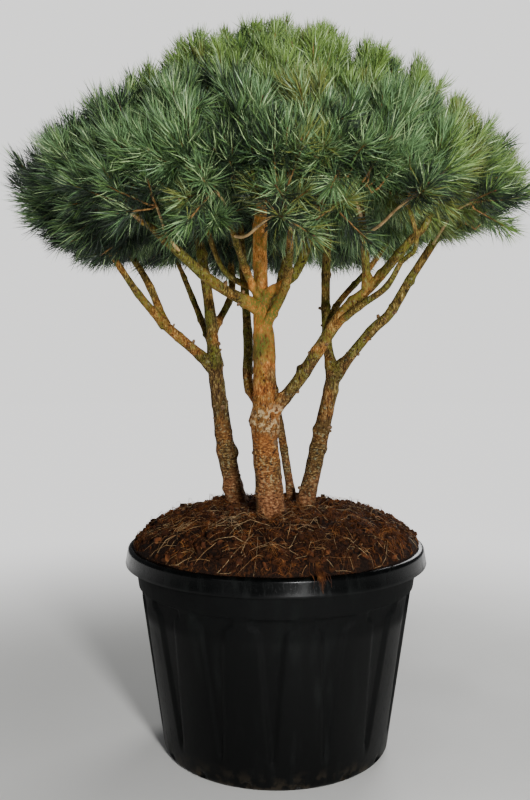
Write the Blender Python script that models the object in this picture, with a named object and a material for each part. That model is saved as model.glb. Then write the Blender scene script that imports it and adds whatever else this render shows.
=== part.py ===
# Multi-stemmed Scots pine in a black nursery pot: pot, potting soil, four stems,
# boughs that fork from them, and nineteen masses of needles that make a wide low dome.
# Metres, +Z up, the pot's flat underside centred on the origin, the front towards -Y.

import math
import random

import bmesh
import bpy
import numpy as np

GAP = 0.0003            # clearance between pieces that touch
MERGE = 0.000002        # points closer than this are one
SEED = 2417

# Pot
POT_HEIGHT = 0.505
POT_FOOT_RADIUS = 0.264
POT_HEEL = (0.2805, 0.016)          # radius and height where the wall leaves the rounded foot
POT_TAPER = 0.139                   # radius gained for each metre of height
POT_WALL = 0.010
POT_FLOOR = 0.008
POT_COLUMNS_PER_FLUTE = 5
FLUTE_COUNT = 15
FLUTE_TURN = math.radians(-92)      # middle of the flute that faces the front
FLUTE_DEPTH = 0.0065
FLUTE_BOTTOM = 0.050
FLUTE_TOP = 0.372
FLUTE_WIDTH_TOP = 0.061
FLUTE_WIDTH_BOTTOM = 0.018
SHOULDER_HEIGHT = 0.400
SHOULDER_STEP = 0.0045
LIP_RADIUS = 0.3705
LIP_DROP = 0.042
LIP_ROUND = 0.006
LIP_INNER_RADIUS = 0.336

# Potting soil, heaped over the rim with a level top where the stems stand
SOIL_TOP = 0.590
SOIL_LEVEL_RADIUS = 0.190
SOIL_SIDES = 36
SOIL_SLOPE = ((0.352, 0.0003), (0.349, 0.016), (0.333, 0.029), (0.300, 0.048), (0.250, 0.068))

# Crown, a dome whose waist is its widest height
CROWN_X = -0.012
CROWN_RADIUS = 0.622
CROWN_TOP = 1.790
CROWN_WAIST = 1.405
CROWN_LOW = 1.165
CROWN_LOW_RISE = 0.085              # how much higher the underside hangs on the right, per metre
CROWN_POWER_TOP = 1.38
CROWN_POWER_LOW = 2.5
HOLLOW_RADIUS = 0.360               # the underside is drawn up round the stems
HOLLOW_EDGE = 1.180
HOLLOW_RISE = 0.100

# Rings of masses: distance from the crown's axis and height of their middles
OUTER_RING = (0.430, 1.385)
INNER_RING = (0.220, 1.530)
TOP_MASS = (0.005, 1.655)
CELL_GAP = 0.0020
CORE_INSET = 0.058                  # how far the cores lie inside the crown's outline
CORE_ROUGH = 0.022                  # and how much that varies from point to point
CORE_COLUMNS = 26
CORE_STEPS_TOP = 6
CORE_STEPS_LOW = 3
CORE_LOW_END = 0.82                 # share of the curve that the underside is drawn to
HOLLOW_SHARES = (0.85, 0.45)        # where the hollow's rings lie
LIMB_ROOM = 0.003                   # room round a limb that runs through a core
NEAR_LIMB = 0.45                    # limbs further off than this can't meet a mass
SPRAY_COUNT = 370
SPRAY_LENGTH = 0.054
SPRAY_WIDTH = 0.029
SPRAY_LEAST_WIDTH = 0.008
SPRAY_WAIST = 0.0055
SPRAY_NOTCH = 0.45                  # share of its length that its needles stand free
STEM_BEYOND = 0.25                  # how far a mass's stem runs past its middle
STEM_LEAD = 0.35                    # share of it that keeps the bough's direction
STEM_END_RADIUS = 0.004
ATTEMPTS = 6
GOLDEN_TURN = math.pi * (3 - math.sqrt(5))

# Stems: foot on the soil, points they pass, radii at foot and at each point, knots as
# (share of length, extra radius, spread). Points are where the real limbs run.
STEMS = {
    "trunk": dict(
        foot=(-0.012, -0.090), sides=12, flare=0.010,
        way=((-0.027, -0.090, 0.790), (-0.029, -0.076, 0.980), (-0.037, -0.056, 1.130),
             (-0.038, -0.035, 1.290), (-0.018, -0.005, 1.590)),
        radii=(0.0325, 0.0300, 0.0262, 0.0174, 0.0160, 0.0070),
        knots=((0.222, 0.0075, 0.026), (0.51, 0.0040, 0.012))),
    "stemLeft": dict(
        foot=(-0.100, 0.100), sides=10, flare=0.007,
        way=((-0.128, 0.100, 0.723), (-0.158, 0.100, 0.950)),
        radii=(0.0235, 0.0226, 0.0190),
        knots=((0.38, 0.0035, 0.030), (0.97, 0.0020, 0.030))),
    "stemRight": dict(
        foot=(0.078, 0.080), sides=10, flare=0.006,
        way=((0.103, 0.080, 0.700), (0.151, 0.080, 0.925)),
        radii=(0.0215, 0.0206, 0.0178),
        knots=((0.42, 0.0030, 0.030), (0.97, 0.0020, 0.030))),
    "stemBack": dict(
        foot=(0.044, 0.150), sides=8, flare=0.004,
        way=((0.020, 0.150, 0.740), (-0.004, 0.165, 0.880), (-0.020, 0.195, 1.020),
             (0.030, 0.305, 1.235)),
        radii=(0.0112, 0.0110, 0.0105, 0.0100, 0.0085),
        knots=()),
}

# Boughs: limb they leave, share of its length, points they pass, last point the tip
BOUGHS = {
    "leftMain": dict(on="stemLeft", at=1.0, radii=(0.0155, 0.0140, 0.0105),
                     way=((-0.174, 0.110, 1.117), (-0.210, 0.105, 1.345))),
    "leftOuter": dict(on="stemLeft", at=0.96, radii=(0.0142, 0.0130, 0.0125),
                      way=((-0.225, 0.065, 0.998), (-0.282, 0.030, 1.049))),
    "leftOuterFront": dict(on="leftOuter", at=1.0, radii=(0.0100, 0.0095, 0.0072),
                           way=((-0.334, -0.020, 1.117), (-0.385, -0.062, 1.198))),
    "leftOuterRear": dict(on="leftOuter", at=0.96, radii=(0.0100, 0.0095, 0.0077),
                          way=((-0.318, 0.066, 1.142), (-0.371, 0.112, 1.224))),
    "leftThin": dict(on="leftMain", at=0.10, radii=(0.0091, 0.0085, 0.0070),
                     way=((-0.202, 0.180, 1.075), (-0.255, 0.262, 1.195))),
    "leftInner": dict(on="leftMain", at=0.22, radii=(0.0100, 0.0095, 0.0080),
                      way=((-0.118, 0.200, 1.130), (-0.124, 0.300, 1.235))),
    "centreBack": dict(on="trunk", at=0.25, radii=(0.0115, 0.0124, 0.0118, 0.0085),
                       way=((-0.067, -0.035, 0.900), (-0.070, 0.030, 1.020),
                            (-0.094, 0.165, 1.330))),
    "centreLeftFront": dict(on="trunk", at=0.490, radii=(0.0142, 0.0125, 0.0100, 0.0065),
                            way=((-0.140, -0.140, 1.135), (-0.226, -0.240, 1.207),
                                 (-0.276, -0.305, 1.250))),
    "centreLeftThin": dict(on="trunk", at=0.530, radii=(0.0075, 0.0065, 0.0055),
                           way=((-0.128, -0.052, 1.178), (-0.180, -0.100, 1.325))),
    "centreLeftUp": dict(on="trunk", at=0.505, radii=(0.0096, 0.0090, 0.0065),
                         way=((-0.068, -0.125, 1.160), (-0.104, -0.295, 1.262))),
    "centreRight": dict(on="trunk", at=0.225, radii=(0.0155, 0.0152, 0.0139, 0.0114, 0.0087),
                        way=((0.052, -0.102, 0.912), (0.148, -0.140, 1.062),
                             (0.216, -0.172, 1.131), (0.300, -0.222, 1.232))),
    "centreRightUp": dict(on="centreRight", at=0.715, radii=(0.0091, 0.0090, 0.0075),
                          way=((0.197, -0.168, 1.240), (0.180, -0.125, 1.390))),
    "centreRightDark": dict(on="centreRight", at=0.420, radii=(0.0078, 0.0075, 0.0072, 0.0060),
                            way=((0.146, -0.045, 1.090), (0.238, 0.075, 1.190),
                                 (0.300, 0.175, 1.272))),
    "centreRightLower": dict(on="centreRight", at=0.500, radii=(0.0080, 0.0076, 0.0070, 0.0055),
                             way=((0.190, -0.205, 1.085), (0.235, -0.262, 1.120),
                                  (0.262, -0.308, 1.172))),
    "centreRightOlive": dict(on="trunk", at=0.440, radii=(0.0108, 0.0100, 0.0075),
                             way=((0.020, -0.136, 1.130), (0.028, -0.290, 1.235))),
    "centreRightUpper": dict(on="trunk", at=0.515, radii=(0.0120, 0.0112, 0.0088),
                             way=((0.052, -0.112, 1.177), (0.108, -0.180, 1.365))),
    "rightInner": dict(on="stemRight", at=0.98, radii=(0.0130, 0.0125, 0.0118, 0.0090),
                       way=((0.135, 0.108, 1.000), (0.133, 0.160, 1.157),
                            (0.142, 0.150, 1.365))),
    "rightOuter": dict(on="stemRight", at=1.0, radii=(0.0141, 0.0130, 0.0125, 0.0115, 0.0095),
                       way=((0.243, 0.088, 1.029), (0.294, 0.088, 1.078),
                            (0.345, 0.086, 1.165), (0.404, 0.072, 1.260))),
}

# Masses: the limb that carries each, and its bearing round the crown's axis from +X
OUTER_MASSES = {
    "foliageRight": ("rightOuter", 5),
    "foliageRightRear": ("centreRightDark", 38),
    "foliageRearRight": ("stemBack", 72),
    "foliageRearLeft": ("leftInner", 105),
    "foliageLeftRear": ("leftThin", 135),
    "foliageLeft": ("leftOuterRear", 165),
    "foliageLeftLow": ("leftOuterFront", 196),
    "foliageLeftFront": ("centreLeftFront", 222),
    "foliageFrontLeft": ("centreLeftUp", 247),
    "foliageFront": ("centreRightOlive", 273),
    "foliageFrontRight": ("centreRightLower", 302),
    "foliageRightFront": ("centreRight", 333),
}
INNER_MASSES = {
    "foliageUpperRight": ("centreRightUp", 342),
    "foliageUpperRightRear": ("rightInner", 42),
    "foliageUpperRear": ("centreBack", 102),
    "foliageUpperLeft": ("leftMain", 165),
    "foliageUpperLeftFront": ("centreLeftThin", 228),
    "foliageUpperFront": ("centreRightUpper", 294),
}
TOP_CARRIER = "trunk"


def clear_scene():
    for item in list(bpy.data.objects):
        bpy.data.objects.remove(item, do_unlink=True)


def material(name, color, roughness):
    made = bpy.data.materials.new(name)
    made.use_nodes = True
    shader = made.node_tree.nodes["Principled BSDF"]
    shader.inputs["Base Color"].default_value = (*color, 1.0)
    shader.inputs["Roughness"].default_value = roughness
    shader.inputs["Metallic"].default_value = 0.0
    made.diffuse_color = (*color, 1.0)
    return made


def make_materials():
    return dict(
        pot=material("pot plastic", (0.012, 0.013, 0.015), 0.42),
        soil=material("potting soil", (0.075, 0.030, 0.014), 0.95),
        trunk=material("orange bark", (0.30, 0.13, 0.065), 0.85),
        stem=material("grey bark", (0.16, 0.10, 0.065), 0.85),
        bough=material("olive bark", (0.19, 0.12, 0.055), 0.80),
        needles=material("pine needles", (0.045, 0.095, 0.055), 0.60),
    )


def new_object(name, points, faces, look=None):
    mesh = bpy.data.meshes.new(name)
    mesh.from_pydata([tuple(p) for p in points], [], faces)
    mesh.validate()
    item = bpy.data.objects.new(name, mesh)
    bpy.context.scene.collection.objects.link(item)
    if look:
        mesh.materials.append(look)
    return item


def unit(vector):
    vector = np.asarray(vector, float)
    return vector / np.linalg.norm(vector)


def grid_faces(rows, columns):
    # Quads between rings of equal length, outward when the rings run up and turn left
    faces = []
    for row in range(rows - 1):
        for column in range(columns):
            after = (column + 1) % columns
            low = row * columns
            high = low + columns
            faces.append((low + column, low + after, high + after, high + column))
    return faces


# Pot and soil

def wall_radius(height):
    return POT_HEEL[0] + POT_TAPER * (height - POT_HEEL[1])


def even_turns(count):
    return FLUTE_TURN + 2 * math.pi * (np.arange(count) / count)


def pot_ring(radius, height, flute_width=None, depth=0.0):
    # A ring is even, or gathers its columns at the flutes' edges
    per_flute = POT_COLUMNS_PER_FLUTE
    pitch = 2 * math.pi / FLUTE_COUNT
    if flute_width is None:
        turns = even_turns(FLUTE_COUNT * per_flute) - 2 * pitch / per_flute
        radii = np.full(len(turns), radius)
    else:
        half = flute_width / radius / 2
        offsets = np.array((-half, -0.55 * half, 0.55 * half, half, pitch / 2))
        sunk = np.array((0, depth, depth, 0, 0))
        starts = FLUTE_TURN + pitch * np.arange(FLUTE_COUNT)
        turns = (starts[:, None] + offsets).ravel()
        radii = radius - np.tile(sunk, FLUTE_COUNT)
    return np.stack((radii * np.cos(turns), radii * np.sin(turns), np.full(len(turns), height)), 1)


def make_pot(look):
    lip_bottom = POT_HEIGHT - LIP_DROP
    shoulder = wall_radius(SHOULDER_HEIGHT) + SHOULDER_STEP
    low = FLUTE_BOTTOM + 0.022
    rings = [
        pot_ring(POT_FOOT_RADIUS, 0.0),
        pot_ring(*POT_HEEL),
        pot_ring(wall_radius(FLUTE_BOTTOM), FLUTE_BOTTOM, FLUTE_WIDTH_BOTTOM),
        pot_ring(wall_radius(low), low, FLUTE_WIDTH_BOTTOM * 1.15, FLUTE_DEPTH * 0.7),
        pot_ring(wall_radius(FLUTE_TOP), FLUTE_TOP, FLUTE_WIDTH_TOP, FLUTE_DEPTH),
        pot_ring(wall_radius(FLUTE_TOP + 0.008), FLUTE_TOP + 0.008, FLUTE_WIDTH_TOP),
        pot_ring(shoulder, SHOULDER_HEIGHT),
        pot_ring(wall_radius(lip_bottom) + SHOULDER_STEP * 0.6, lip_bottom),
        pot_ring(LIP_RADIUS, lip_bottom),
        pot_ring(LIP_RADIUS, POT_HEIGHT - LIP_ROUND),
        pot_ring(LIP_RADIUS - LIP_ROUND, POT_HEIGHT),
        pot_ring(LIP_INNER_RADIUS, POT_HEIGHT),
        pot_ring(wall_radius(POT_FLOOR) - POT_WALL, POT_FLOOR),
    ]
    columns = len(rings[0])
    points = np.concatenate(rings)
    faces = grid_faces(len(rings), columns)
    faces.append(tuple(reversed(range(columns))))
    last = (len(rings) - 1) * columns
    faces.append(tuple(range(last, last + columns)))
    pot = new_object("pot", points, faces, look)
    smooth(pot, 35)
    return pot


def soil_rings():
    # Radius and height up the outside, then over the rim and up the heap
    clear = GAP + 0.0005
    rings = [
        (wall_radius(POT_FLOOR) - POT_WALL - clear, POT_FLOOR + GAP),
        (LIP_INNER_RADIUS - clear - 0.0003, POT_HEIGHT + GAP),
    ]
    rings += [(radius, POT_HEIGHT + rise) for radius, rise in SOIL_SLOPE]
    rings.append((SOIL_LEVEL_RADIUS, SOIL_TOP))
    return rings


def make_soil(look):
    turns = 2 * math.pi * np.arange(SOIL_SIDES) / SOIL_SIDES
    rings = soil_rings()
    points = [(r * math.cos(t), r * math.sin(t), z) for r, z in rings for t in turns]
    faces = grid_faces(len(rings), SOIL_SIDES)
    faces.append(tuple(reversed(range(SOIL_SIDES))))
    last = (len(rings) - 1) * SOIL_SIDES
    faces.append(tuple(range(last, last + SOIL_SIDES)))
    soil = new_object("soil", points, faces, look)
    smooth(soil, 40)
    return soil


# Limbs

def smooth(item, degrees):
    item.data.shade_smooth()
    item.data.set_sharp_from_angle(angle=math.radians(degrees))


def curve_through(points, values, step):
    # Catmull-Rom through the points, with a ring about every step of length
    points = np.asarray(points, float)
    values = np.asarray(values, float)
    before = 2 * points[0] - points[1]
    after = 2 * points[-1] - points[-2]
    chain = np.vstack((before, points, after))
    places, sizes = [], []
    for i in range(len(points) - 1):
        a, b, c, d = chain[i:i + 4]
        count = max(2, int(round(np.linalg.norm(c - b) / step)))
        for k in range(count):
            t = k / count
            places.append(0.5 * (2 * b + (c - a) * t + (2 * a - 5 * b + 4 * c - d) * t ** 2
                                 + (3 * b - a - 3 * c + d) * t ** 3))
            sizes.append(values[i] + (values[i + 1] - values[i]) * t)
    places.append(points[-1])
    sizes.append(values[-1])
    return np.array(places), np.array(sizes)


def shares_along(path):
    steps = np.linalg.norm(np.diff(path, axis=0), axis=1)
    return np.concatenate(((0,), np.cumsum(steps))) / steps.sum()


def tube_points(path, radii, sides, facing=None):
    tangents = np.gradient(path, axis=0)
    tangents /= np.linalg.norm(tangents, axis=1)[:, None]
    if facing is not None:
        tangents[0] = facing
    side = unit(np.cross(tangents[0], (0.31, 0.95, 0.02)))
    turns = 2 * math.pi * np.arange(sides) / sides
    rings = []
    for place, along, radius in zip(path, tangents, radii):
        side = unit(side - along * np.dot(side, along))
        across = np.cross(along, side)
        rings.append(place + radius * (np.cos(turns)[:, None] * side + np.sin(turns)[:, None] * across))
    return np.concatenate(rings)


def tube_faces(rings, sides):
    faces = grid_faces(rings, sides)
    faces.append(tuple(reversed(range(sides))))
    last = (rings - 1) * sides
    faces.append(tuple(range(last, last + sides)))
    return faces


class Limb:
    # A tapering tube; facing is the direction its first cut looks along, where that is set
    def __init__(self, name, path, radii, sides, facing=None):
        self.name = name
        self.path = path
        self.radii = radii
        self.sides = sides
        self.facing = facing

    def tip(self):
        return self.path[-1]

    def tip_direction(self):
        return unit(self.path[-1] - self.path[-2])

    def at(self, share):
        shares = shares_along(self.path)
        return np.array([np.interp(share, shares, self.path[:, k]) for k in range(3)])

    def mesh_object(self, name, extra=0.0, look=None):
        path = self.path.copy()
        if extra:
            path[0] -= unit(path[1] - path[0]) * extra
            path[-1] += self.tip_direction() * extra
        grown = self.radii + extra / math.cos(math.pi / self.sides)
        points = tube_points(path, grown, self.sides, self.facing)
        return new_object(name, points, tube_faces(len(path), self.sides), look)


def stem_limb(name, spec):
    foot = (*spec["foot"], SOIL_TOP + GAP)
    path, radii = curve_through((foot, *spec["way"]), spec["radii"], 0.045)
    shares = shares_along(path)
    for place, extra, spread in spec["knots"]:
        radii = radii + extra * np.exp(-((shares - place) / spread) ** 2)
    height = path[:, 2] - path[0, 2]
    radii = radii + spec["flare"] * np.exp(-height / 0.018)
    return Limb(name, path, radii, spec["sides"], (0, 0, 1))


def bough_limb(name, spec, limbs):
    parent = limbs[spec["on"]]
    start = parent.at(spec["at"])
    if spec["at"] == 1.0:
        start = start - parent.tip_direction() * parent.radii[-1] * 0.6
    path, radii = curve_through((start, *spec["way"]), spec["radii"], 0.050)
    sides = 8 if radii[0] > 0.0085 else 6
    return Limb(name, path, radii, sides)


def distance_to_limb(limb, points):
    # Distance from each point to the limb's surface
    a = limb.path[:-1]
    b = limb.path[1:]
    span = b - a
    share = ((points[:, None] - a) * span).sum(2) / (span ** 2).sum(1)
    share = np.clip(share, 0, 1)
    nearest = a + share[..., None] * span
    radius = limb.radii[:-1] + share * (limb.radii[1:] - limb.radii[:-1])
    return (np.linalg.norm(points[:, None] - nearest, axis=2) - radius).min(1)


def combine(item, others, operation, solver="EXACT"):
    # One Boolean with a collection of solids, applied, and the solids removed
    group = bpy.data.collections.new("group")
    bpy.context.scene.collection.children.link(group)
    for other in others:
        bpy.context.scene.collection.objects.unlink(other)
        group.objects.link(other)
        other.hide_render = True
        other.display_type = "WIRE"
    step = item.modifiers.new("combine", "BOOLEAN")
    step.operation = operation
    step.solver = solver
    step.operand_type = "COLLECTION"
    step.collection = group
    depsgraph = bpy.context.evaluated_depsgraph_get()
    mesh = bpy.data.meshes.new_from_object(item.evaluated_get(depsgraph))
    item.modifiers.remove(step)
    item.data = mesh
    for other in others:
        bpy.data.objects.remove(other, do_unlink=True)
    bpy.data.collections.remove(group)


def shells_of(work):
    left = set(work.faces)
    shells = []
    while left:
        shell = [left.pop()]
        for face in shell:
            for edge in face.edges:
                for near in edge.link_faces:
                    if near in left:
                        left.remove(near)
                        shell.append(near)
        volume = sum(f.verts[0].co.dot(f.verts[1].co.cross(f.verts[2].co)) for f in shell)
        shells.append((volume, shell))
    return sorted(shells, key=lambda pair: pair[0])


def keep_main_body(item):
    # Keeps the largest outward shell, so scraps and sealed hollows go, and says if it is closed
    work = bmesh.new()
    work.from_mesh(item.data)
    bmesh.ops.triangulate(work, faces=work.faces)
    for volume, shell in shells_of(work)[:-1]:
        bmesh.ops.delete(work, geom=shell, context="FACES")
    loose = [v for v in work.verts if not v.link_faces]
    bmesh.ops.delete(work, geom=loose, context="VERTS")
    bmesh.ops.remove_doubles(work, verts=work.verts, dist=MERGE)
    bmesh.ops.dissolve_degenerate(work, edges=work.edges, dist=MERGE)
    bmesh.ops.triangulate(work, faces=work.faces)
    closed = all(len(edge.link_faces) == 2 for edge in work.edges)
    closed = closed and len(shells_of(work)) == 1
    work.to_mesh(item.data)
    work.free()
    return closed


def near_limbs(limb, others):
    close = []
    for other in others:
        reach = distance_to_limb(other, limb.path).min()
        if reach < limb.radii.max() + 0.02:
            close.append(other)
    return close


def make_limb_objects(limbs, looks):
    built = []
    for name, limb in limbs.items():
        item = limb.mesh_object(name)
        cutters = near_limbs(limb, built)
        if cutters:
            combine(item, [c.mesh_object("cutter", GAP) for c in cutters], "DIFFERENCE")
            keep_main_body(item)
        item.data.materials.clear()
        item.data.materials.append(looks["trunk" if name == "trunk" else
                                         "stem" if name in STEMS else "bough"])
        smooth(item, 40)
        built.append(limb)


# Crown and masses

def mass_centres():
    centres = {}
    carriers = {}
    for ring, masses in ((OUTER_RING, OUTER_MASSES), (INNER_RING, INNER_MASSES)):
        for name, (carrier, bearing) in masses.items():
            turn = math.radians(bearing)
            centres[name] = np.array((CROWN_X + ring[0] * math.cos(turn),
                                      ring[0] * math.sin(turn), ring[1]))
            carriers[name] = carrier
    centres["foliageTop"] = np.array((CROWN_X + TOP_MASS[0], 0.0, TOP_MASS[1]))
    carriers["foliageTop"] = TOP_CARRIER
    return centres, carriers


def cell_margin(name, points, centres):
    # Distance inside the planes midway to the other masses
    own = centres[name]
    margins = []
    for other, centre in centres.items():
        if other == name:
            continue
        normal = unit(centre - own)
        middle = (centre + own) / 2
        margins.append(((middle - points) * normal).sum(-1))
    return np.min(margins, axis=0) - CELL_GAP / 2


def crown_profile(inset):
    # Radius and height down the crown's side and in along its underside, moved in by inset
    radius = CROWN_RADIUS - inset
    quarter = math.pi / 2
    profile = [(0.0, CROWN_TOP - inset)]
    for k in range(1, CORE_STEPS_TOP + 1):
        turn = quarter * k / CORE_STEPS_TOP
        power = 2 / CROWN_POWER_TOP
        rise = (CROWN_TOP - inset - CROWN_WAIST) * max(math.cos(turn), 0.0) ** power
        profile.append((radius * math.sin(turn) ** power, CROWN_WAIST + rise))
    for k in range(1, CORE_STEPS_LOW + 1):
        turn = quarter * CORE_LOW_END * k / CORE_STEPS_LOW
        power = 2 / CROWN_POWER_LOW
        drop = (CROWN_WAIST - CROWN_LOW - inset) * math.sin(turn) ** power
        profile.append((radius * math.cos(turn) ** power, CROWN_WAIST - drop))
    return profile


def crown_place(radius, turn, height):
    x = radius * math.cos(turn)
    lean = CROWN_LOW_RISE * x if height < CROWN_WAIST else 0.0
    return (CROWN_X + x, radius * math.sin(turn), height + lean)


def crown_dome():
    # Points and faces of a rough dome inside the crown's outline, from which all cores are cut
    rng = random.Random(SEED)
    profile = crown_profile(CORE_INSET)[1:]
    for share in HOLLOW_SHARES:
        rise = HOLLOW_RISE * (1 - share ** 2)
        profile.append((HOLLOW_RADIUS * share, HOLLOW_EDGE + CORE_INSET + rise))
    points = []
    for radius, height in reversed(profile):
        for column in range(CORE_COLUMNS):
            out = 1 + rng.uniform(-0.5, 0.5) * CORE_ROUGH / radius
            points.append(crown_place(radius * out, 2 * math.pi * column / CORE_COLUMNS,
                                      height + rng.uniform(-0.5, 0.5) * CORE_ROUGH))
    faces = grid_faces(len(profile), CORE_COLUMNS)
    low, high = len(points), len(points) + 1
    points.append((CROWN_X, 0.0, HOLLOW_EDGE + HOLLOW_RISE + CORE_INSET))
    points.append((CROWN_X, 0.0, CROWN_TOP - CORE_INSET))
    last = (len(profile) - 1) * CORE_COLUMNS
    for k in range(CORE_COLUMNS):
        after = (k + 1) % CORE_COLUMNS
        faces.append((low, after, k))
        faces.append((high, last + k, last + after))
    return points, faces


def crown_tips(rng):
    # Spray tips spread evenly over the crown's outline
    profile = np.array(crown_profile(0.0))
    steps = np.linalg.norm(np.diff(profile, axis=0), axis=1)
    areas = steps * (profile[1:, 0] + profile[:-1, 0])
    shares = np.concatenate(((0,), np.cumsum(areas))) / areas.sum()
    tips = []
    for k in range(SPRAY_COUNT):
        share = (k + rng.random()) / SPRAY_COUNT
        radius = np.interp(share, shares, profile[:, 0])
        height = np.interp(share, shares, profile[:, 1])
        tips.append(crown_place(radius, k * GOLDEN_TURN, height))
    return np.array(tips)


def make_core(name, centres, dome):
    # The rough dome cut down to the mass's space
    item = new_object(name, *dome)
    work = bmesh.new()
    work.from_mesh(item.data)
    own = centres[name]
    for other, centre in centres.items():
        if other == name:
            continue
        normal = unit(centre - own)
        edge = (centre + own) / 2 - normal * (CELL_GAP / 2 + GAP)
        geometry = work.verts[:] + work.edges[:] + work.faces[:]
        cut = bmesh.ops.bisect_plane(work, geom=geometry, plane_co=edge, plane_no=normal,
                                     clear_outer=True, dist=MERGE)
        rim = [part for part in cut["geom_cut"] if isinstance(part, bmesh.types.BMEdge)]
        if rim:
            bmesh.ops.holes_fill(work, edges=rim)
    work.to_mesh(item.data)
    work.free()
    return item


def spray_solid(root, tip, width):
    # A slim three-sided twig that opens into three free needles
    along = unit(tip - root)
    side = unit(np.cross(along, (0.2, 0.3, 1.0)))
    across = np.cross(along, side)
    burst = min(SPRAY_LENGTH, np.linalg.norm(tip - root) * 0.6)
    waist = tip - along * burst
    points = [root]
    for k in range(6):
        turn = math.pi * k / 3
        outward = side * math.cos(turn) + across * math.sin(turn)
        points.append(tip + outward * width if k % 2 else waist + outward * SPRAY_WAIST)
    points.append(tip - along * burst * SPRAY_NOTCH)
    faces = []
    for k in (1, 3, 5):
        this, needle, after = k, k + 1, 1 + (k + 1) % 6
        faces.append((0, after, this))
        faces.append((this, after, needle))
        faces.append((this, needle, 7))
        faces.append((needle, after, 7))
    return np.array(points), faces


def mass_stem(limb, centre):
    # The mass's own stem, from just past its bough's tip to above the middle
    start = limb.tip() + limb.tip_direction() * GAP * 1.4
    heart = centre + (centre - start) * STEM_BEYOND
    lead = start + limb.tip_direction() * np.linalg.norm(heart - start) * STEM_LEAD
    sizes = (limb.radii[-1], limb.radii[-1] * 0.9, STEM_END_RADIUS)
    path, radii = curve_through((start, lead, heart), sizes, 0.06)
    return Limb("stem", path, radii, 5, limb.tip_direction())


def spray_fits(name, points, limbs, centres):
    if cell_margin(name, points, centres).min() < GAP:
        return False
    root, waist = points[0], points[1:6:2].mean(0)
    axis = root + (waist - root) * np.linspace(0.05, 1, 10)[:, None]
    tests = np.vstack((axis, points[1:]))
    room = SPRAY_WAIST + LIMB_ROOM
    return all(distance_to_limb(limb, tests).min() > room for limb in limbs)


def spray_parts(name, stem, near, centres, tips, rng):
    # Sprays that grow from the stem by chance and stay within the mass's space
    margins = cell_margin(name, tips, centres) - GAP * 3
    chosen = []
    for tip, margin in zip(tips, margins):
        if margin < SPRAY_LEAST_WIDTH:
            continue
        root = stem.at(rng.uniform(0.45, 0.95))
        tip = root + (tip - root) * rng.uniform(0.96, 1.0)
        width = min(SPRAY_WIDTH * rng.uniform(0.85, 1.15), margin)
        points, faces = spray_solid(root, tip, width)
        if spray_fits(name, points, near, centres):
            chosen.append((points, faces))
    return chosen


def make_mass(name, limb, limbs, centres, dome, tips, look, rng):
    centre = centres[name]
    near = [other for other in limbs.values()
            if distance_to_limb(other, centre[None])[0] < NEAR_LIMB]
    stem = mass_stem(limb, centre)
    for attempt in range(ATTEMPTS):
        item = make_core(name, centres, dome)
        size = max((v.co - item.data.vertices[0].co).length for v in item.data.vertices)
        touching = [other for other in near if distance_to_limb(other, centre[None])[0] < size]
        if touching:
            combine(item, [other.mesh_object("cutter", LIMB_ROOM) for other in touching], "DIFFERENCE")
            keep_main_body(item)
        fewer = 1 if attempt < 2 else 2
        sprays = spray_parts(name, stem, near, centres, tips[::fewer], rng)
        parts = [stem.mesh_object("part")]
        parts += [new_object("part", points, faces) for points, faces in sprays]
        combine(item, parts, "UNION", "EXACT" if attempt % 2 == 0 else "MANIFOLD")
        if keep_main_body(item):
            break
        bpy.data.objects.remove(item, do_unlink=True)
    item.data.materials.clear()
    item.data.materials.append(look)


def main():
    clear_scene()
    looks = make_materials()
    make_pot(looks["pot"])
    make_soil(looks["soil"])
    limbs = {name: stem_limb(name, spec) for name, spec in STEMS.items()}
    for name, spec in BOUGHS.items():
        limbs[name] = bough_limb(name, spec, limbs)
    make_limb_objects(limbs, looks)
    centres, carriers = mass_centres()
    rng = random.Random(SEED)
    dome = crown_dome()
    tips = crown_tips(rng)
    for name in centres:
        make_mass(name, limbs[carriers[name]], limbs, centres, dome, tips, looks["needles"], rng)


main()
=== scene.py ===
# Potted multi-stemmed Scots pine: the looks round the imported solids.
# Metres, +Z up, the pot's flat underside centred on the origin, the front towards -Y.

import itertools
import math

import bpy
import numpy as np
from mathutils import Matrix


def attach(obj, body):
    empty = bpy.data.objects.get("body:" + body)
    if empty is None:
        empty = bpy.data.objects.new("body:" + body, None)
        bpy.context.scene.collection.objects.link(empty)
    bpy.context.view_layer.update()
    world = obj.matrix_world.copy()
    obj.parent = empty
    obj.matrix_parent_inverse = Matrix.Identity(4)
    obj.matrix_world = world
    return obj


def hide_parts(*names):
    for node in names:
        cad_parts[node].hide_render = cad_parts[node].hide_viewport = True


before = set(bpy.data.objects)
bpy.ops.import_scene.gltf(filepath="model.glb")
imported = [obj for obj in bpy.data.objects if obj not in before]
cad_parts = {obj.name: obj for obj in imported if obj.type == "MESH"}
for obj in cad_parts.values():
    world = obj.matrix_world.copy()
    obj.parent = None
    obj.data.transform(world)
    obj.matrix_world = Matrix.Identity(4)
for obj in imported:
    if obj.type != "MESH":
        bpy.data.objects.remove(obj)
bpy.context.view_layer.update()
goldenTurn = math.pi * (3 - math.sqrt(5))


# Shading

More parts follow.
